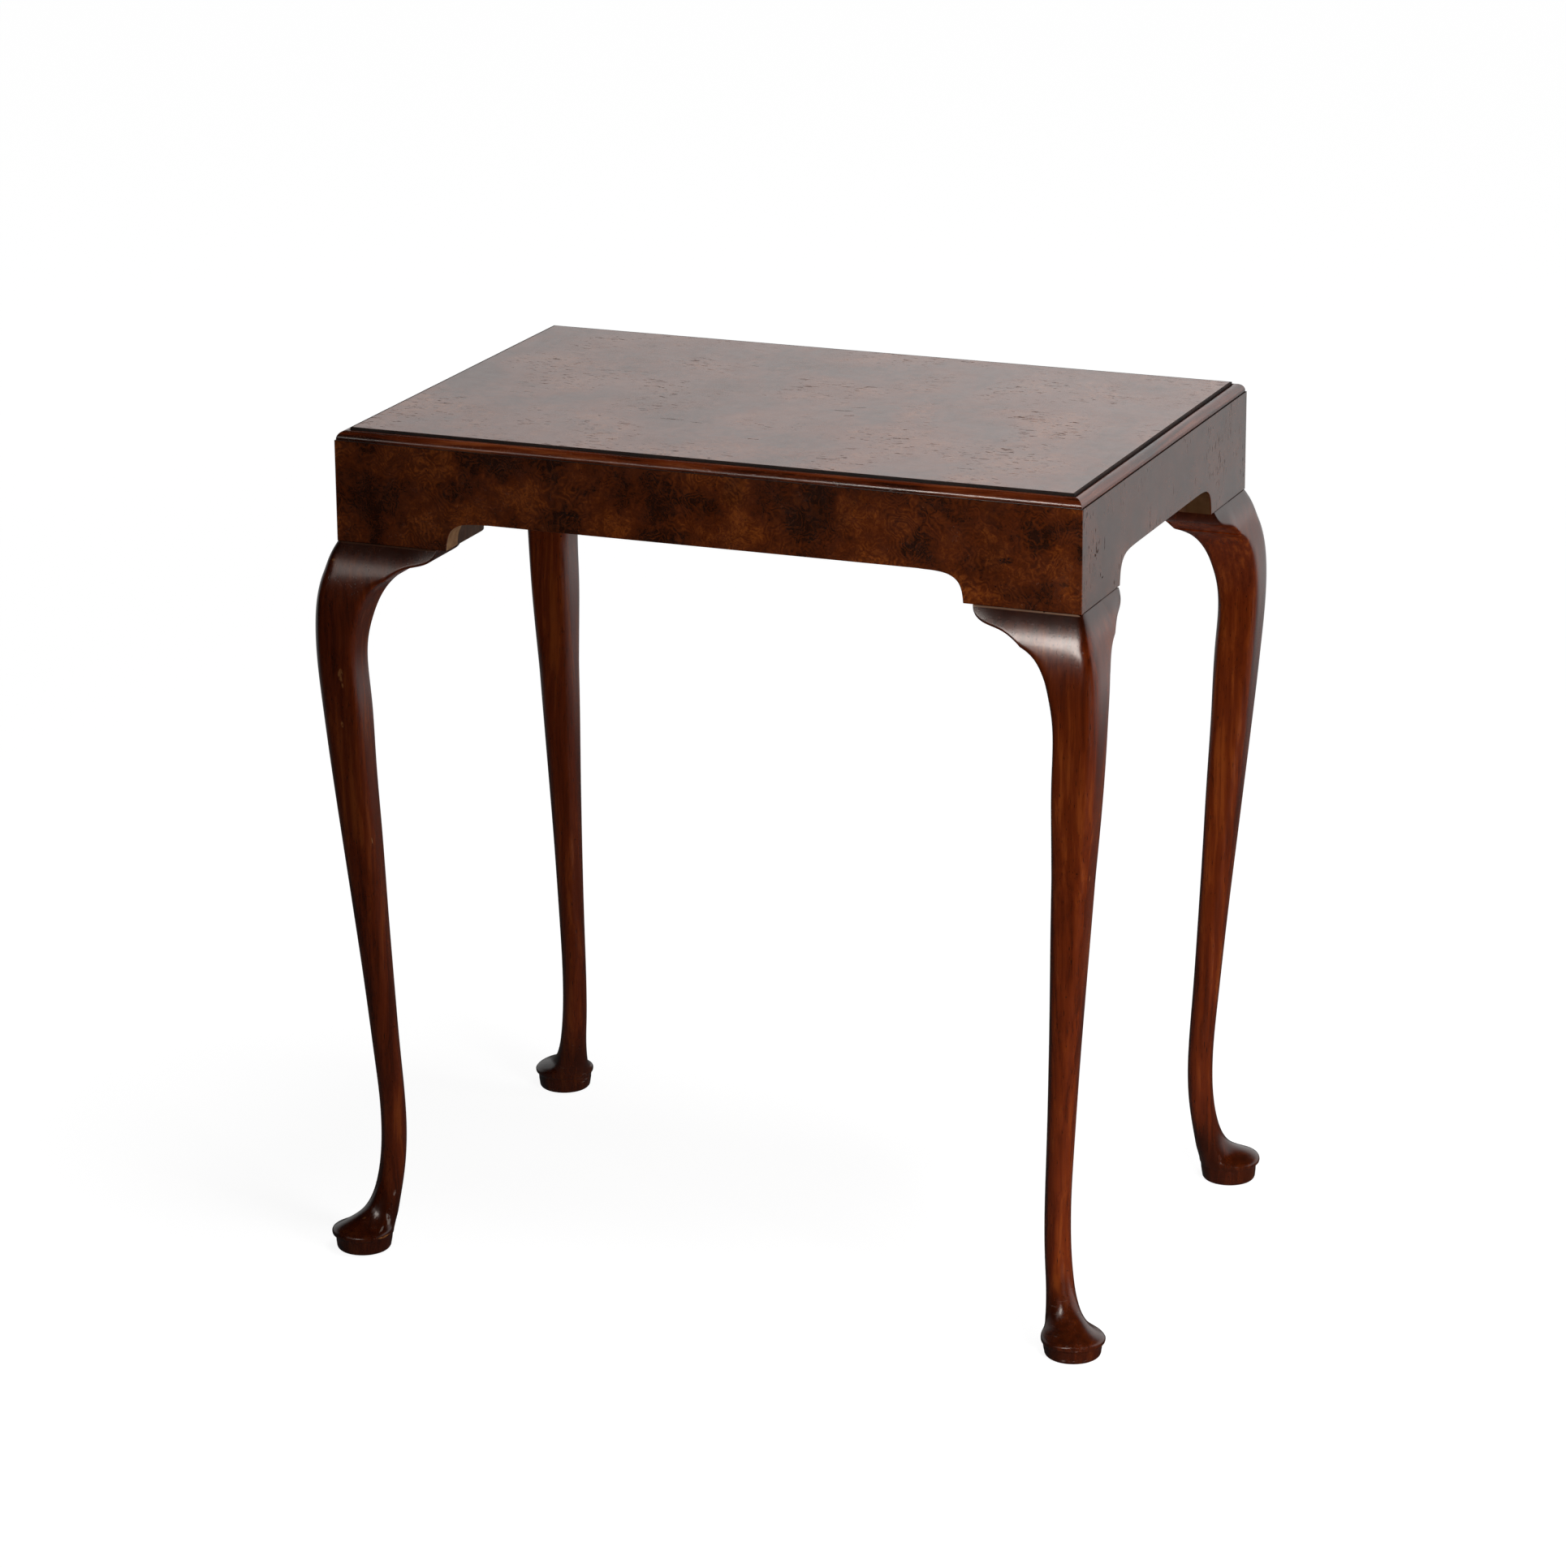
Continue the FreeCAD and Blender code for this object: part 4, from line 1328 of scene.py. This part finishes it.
walnut = polishedWalnut()
frontBurr = burrVeneer("apron_burr_veneer", apronBurrLook, (1, 0, 0))
sideBurr = burrVeneer("side_burr_veneer", sideBurrLook, (0, 0, 1))
topBurr = burrVeneer("top_burr_veneer", topBurrLook, (1, 0, 0))
lipWoods = [lipWood("lip_wood_x", "X"), lipWood("lip_wood_y", "Y")]
edgingWoods = [blackEdging("tray_edging_x", "X"), blackEdging("tray_edging_y", "Y")]
print("finishes mixed")

makeLegs(walnut)
makeBrackets(walnut)
makeFacings([frontBurr, sideBurr])
makeStrips("lip", lipProfile(), lip, apronTop, lipWoods, "frame", "lip_moulding_")
makeStrips("edging", edgingProfile(), edging, trayFloor, edgingWoods, "tray", "tray_edging_")
makeScrews(screwSteel())


def finishNodes():
    # nodes of the frame that keep their own shape
    railWoods = [insideWood("rail", "X"), insideWood("rail", "Y")]
    finishes = {
        "rail_front": railWoods[0],
        "rail_back": railWoods[0],
        "rail_left": railWoods[1],
        "rail_right": railWoods[1],
        "tray_burr_veneer": topBurr,
        "tray_core_board": insideWood("core", "X"),
        "tray_backing_veneer": insideWood("backing", "X"),
    }
    blockWood = insideWood("block", "Z")
    for corner in cornerSides:
        finishes["corner_block_" + corner] = blockWood
    for name, material in finishes.items():
        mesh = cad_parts[name].data
        mesh.materials.clear()
        mesh.materials.append(material)
    print("plain woods and top finished")


finishNodes()


# ---- camera

camera = {
    "focal": 6694.6,        # in picture points, across the long side of the frame
    "pictureHeight": 1932.0,
    "sensor": 36.0,
    "turn": 22.181,
    "tilt": 17.488,
    "roll": -0.433,
    "right": -13.632,
    "up": 351.0,
    "away": 4460.9,
}


def makeCamera():
    turn, tilt, roll = (math.radians(camera[key]) for key in ("turn", "tilt", "roll"))
    back = Vector((math.sin(turn) * math.cos(tilt), -math.cos(turn) * math.cos(tilt), math.sin(tilt)))
    right = Vector((math.cos(turn), math.sin(turn), 0))
    up = back.cross(right)
    place = back * camera["away"] + right * camera["right"] + up * camera["up"]
    rightRolled = right * math.cos(roll) + up * math.sin(roll)
    upRolled = up * math.cos(roll) - right * math.sin(roll)
    data = bpy.data.cameras.new("camera")
    made = bpy.data.objects.new("camera", data)
    bpy.context.scene.collection.objects.link(made)
    axes = Matrix((rightRolled, upRolled, back)).transposed().to_4x4()
    made.matrix_world = Matrix.Translation(place * mm) @ axes
    data.sensor_width = camera["sensor"]
    data.lens = camera["focal"] * camera["sensor"] / camera["pictureHeight"]
    data.clip_start, data.clip_end = 0.1, 200
    bpy.context.scene.camera = made


makeCamera()


# ---- floor and light

studio = {
    "roomLight": 0.06,          # even light from all round
    "farShine": 1.0,            # what the polish mirrors low down behind the table
    "nearShine": 0.0,           # the dark room that it mirrors in front
    "leftShine": 0.55,
    "floorShine": 0.61,
    "footShine": 0.05,          # floor right under the table, in its own shade
    "nearGlow": 1.42,
    "farGlow": 1.50,
    "floorShade": 0.35,         # how strongly the white floor shows the shadows
    "floorReach": 30.0,
    "shineTint": (1.0, 0.93, 0.87),
    # place, aim, size, power, spread in degrees, and which of colour or shine it serves
    "key": ((-0.04, -1.70, 1.13), (0.30, -0.2, 0.55), (0.80, 0.26), 2.8, 90, "shine"),
    "strip": ((-0.90, -1.60, 1.12), (-0.1, -0.2, 0.58), (0.84, 0.25), 0.38, 90, "shine"),
    "side": ((1.15, -0.85, 0.28), (0.46, 0.0, 0.06), (0.5, 0.6), 6.6, 95, "colour"),
    "top": ((0.5, -0.1, 2.2), (0.0, 0.0, 0.6), (1.0, 1.0), 22.0, 180, "colour"),
}


def glow(strength):
    return wire("ShaderNodeEmission", Color=(1, 1, 1, 1), Strength=strength)


def mixed(share, first, second):
    made = node("ShaderNodeMixShader", Fac=share)
    plug(made.inputs[1], first)
    plug(made.inputs[2], second)
    return Wire(made.outputs[0])


def makeFloor():
    reach = studio["floorReach"]
    mesh = bpy.data.meshes.new("floor")
    corners = [(-reach, -reach, 0), (reach, -reach, 0), (reach, reach, 0), (-reach, reach, 0)]
    mesh.from_pydata(corners, [], [(0, 1, 2, 3)])
    material = bpy.data.materials.new("studio_floor")
    material.use_nodes = True
    tree = bench["tree"] = material.node_tree
    tree.nodes.remove(tree.nodes["Principled BSDF"])
    place = wire("ShaderNodeTexCoord", None, "Object")
    grain = cloud(place, 3.0, 4.0) * 0.02 + 0.80
    white = wire("ShaderNodeCombineColor", Red=grain, Green=grain, Blue=grain)
    paint = wire("ShaderNodeBsdfDiffuse", Color=white)
    # the eye sees it nearly white with soft shadows, the polish sees it fade to dark in front
    away = sums("LENGTH", place)
    bright = glow(between(rampUp(away, 0.6, 3.5), studio["nearGlow"], studio["farGlow"]))
    shine = between(rampUp(away, 1.05, 2.4), studio["footShine"], studio["floorShine"])
    mirrored = glow(between(rampUp(apart(place)[1], -1.1, 0.2), studio["nearShine"], shine))
    path = node("ShaderNodeLightPath").outputs
    lit = mixed(Wire(path["Is Glossy Ray"]), paint, mirrored)
    seen = mixed(Wire(path["Is Camera Ray"]), lit, mixed(studio["floorShade"], bright, paint))
    # from below the floor is not there
    below = wire("ShaderNodeNewGeometry", None, "Backfacing")
    surface = mixed(below, seen, wire("ShaderNodeBsdfTransparent"))
    plug(tree.nodes["Material Output"].inputs["Surface"], surface)
    laidOut(tree)
    mesh.materials.append(material)
    newObject("floor", mesh)


def makeRoom():
    world = bpy.data.worlds.new("studio")
    world.use_nodes = True
    tree = bench["tree"] = world.node_tree
    x, y, z = apart(wire("ShaderNodeTexCoord", None, "Generated"))
    shine = between(rampUp(y, -0.30, 0.30), studio["nearShine"], studio["farShine"])
    shine = shine * between(rampUp(x, -0.55, -0.20), studio["leftShine"], 1.0)
    shine = shine * (1 - rampUp(z, 0.42, 0.62))          # the bright wall stops part of the way up
    path = node("ShaderNodeLightPath").outputs
    strength = between(Wire(path["Is Glossy Ray"]), studio["roomLight"], shine)
    back = tree.nodes["Background"].inputs
    plug(back["Color"], (1, 1, 1, 1))
    plug(back["Strength"], between(Wire(path["Is Camera Ray"]), strength, 1.0))
    laidOut(tree)
    bpy.context.scene.world = world


def makeSoftbox(name):
    place, aim, size, power, spread, serves = studio[name]
    data = bpy.data.lights.new(name, "AREA")
    data.shape = "RECTANGLE"
    data.size, data.size_y = size
    data.energy = power
    data.spread = math.radians(spread)
    made = bpy.data.objects.new(name, data)
    made.visible_diffuse = serves != "shine"
    made.visible_glossy = serves != "colour"
    if serves == "shine":
        data.color = studio["shineTint"]
    bpy.context.scene.collection.objects.link(made)
    made.location = place
    made.rotation_euler = (Vector(aim) - made.location).to_track_quat("-Z", "Y").to_euler()


makeFloor()
makeRoom()
for lamp in ("key", "strip", "side", "top"):
    makeSoftbox(lamp)
bpy.context.scene.view_settings.view_transform = "Standard"
print("studio lit")
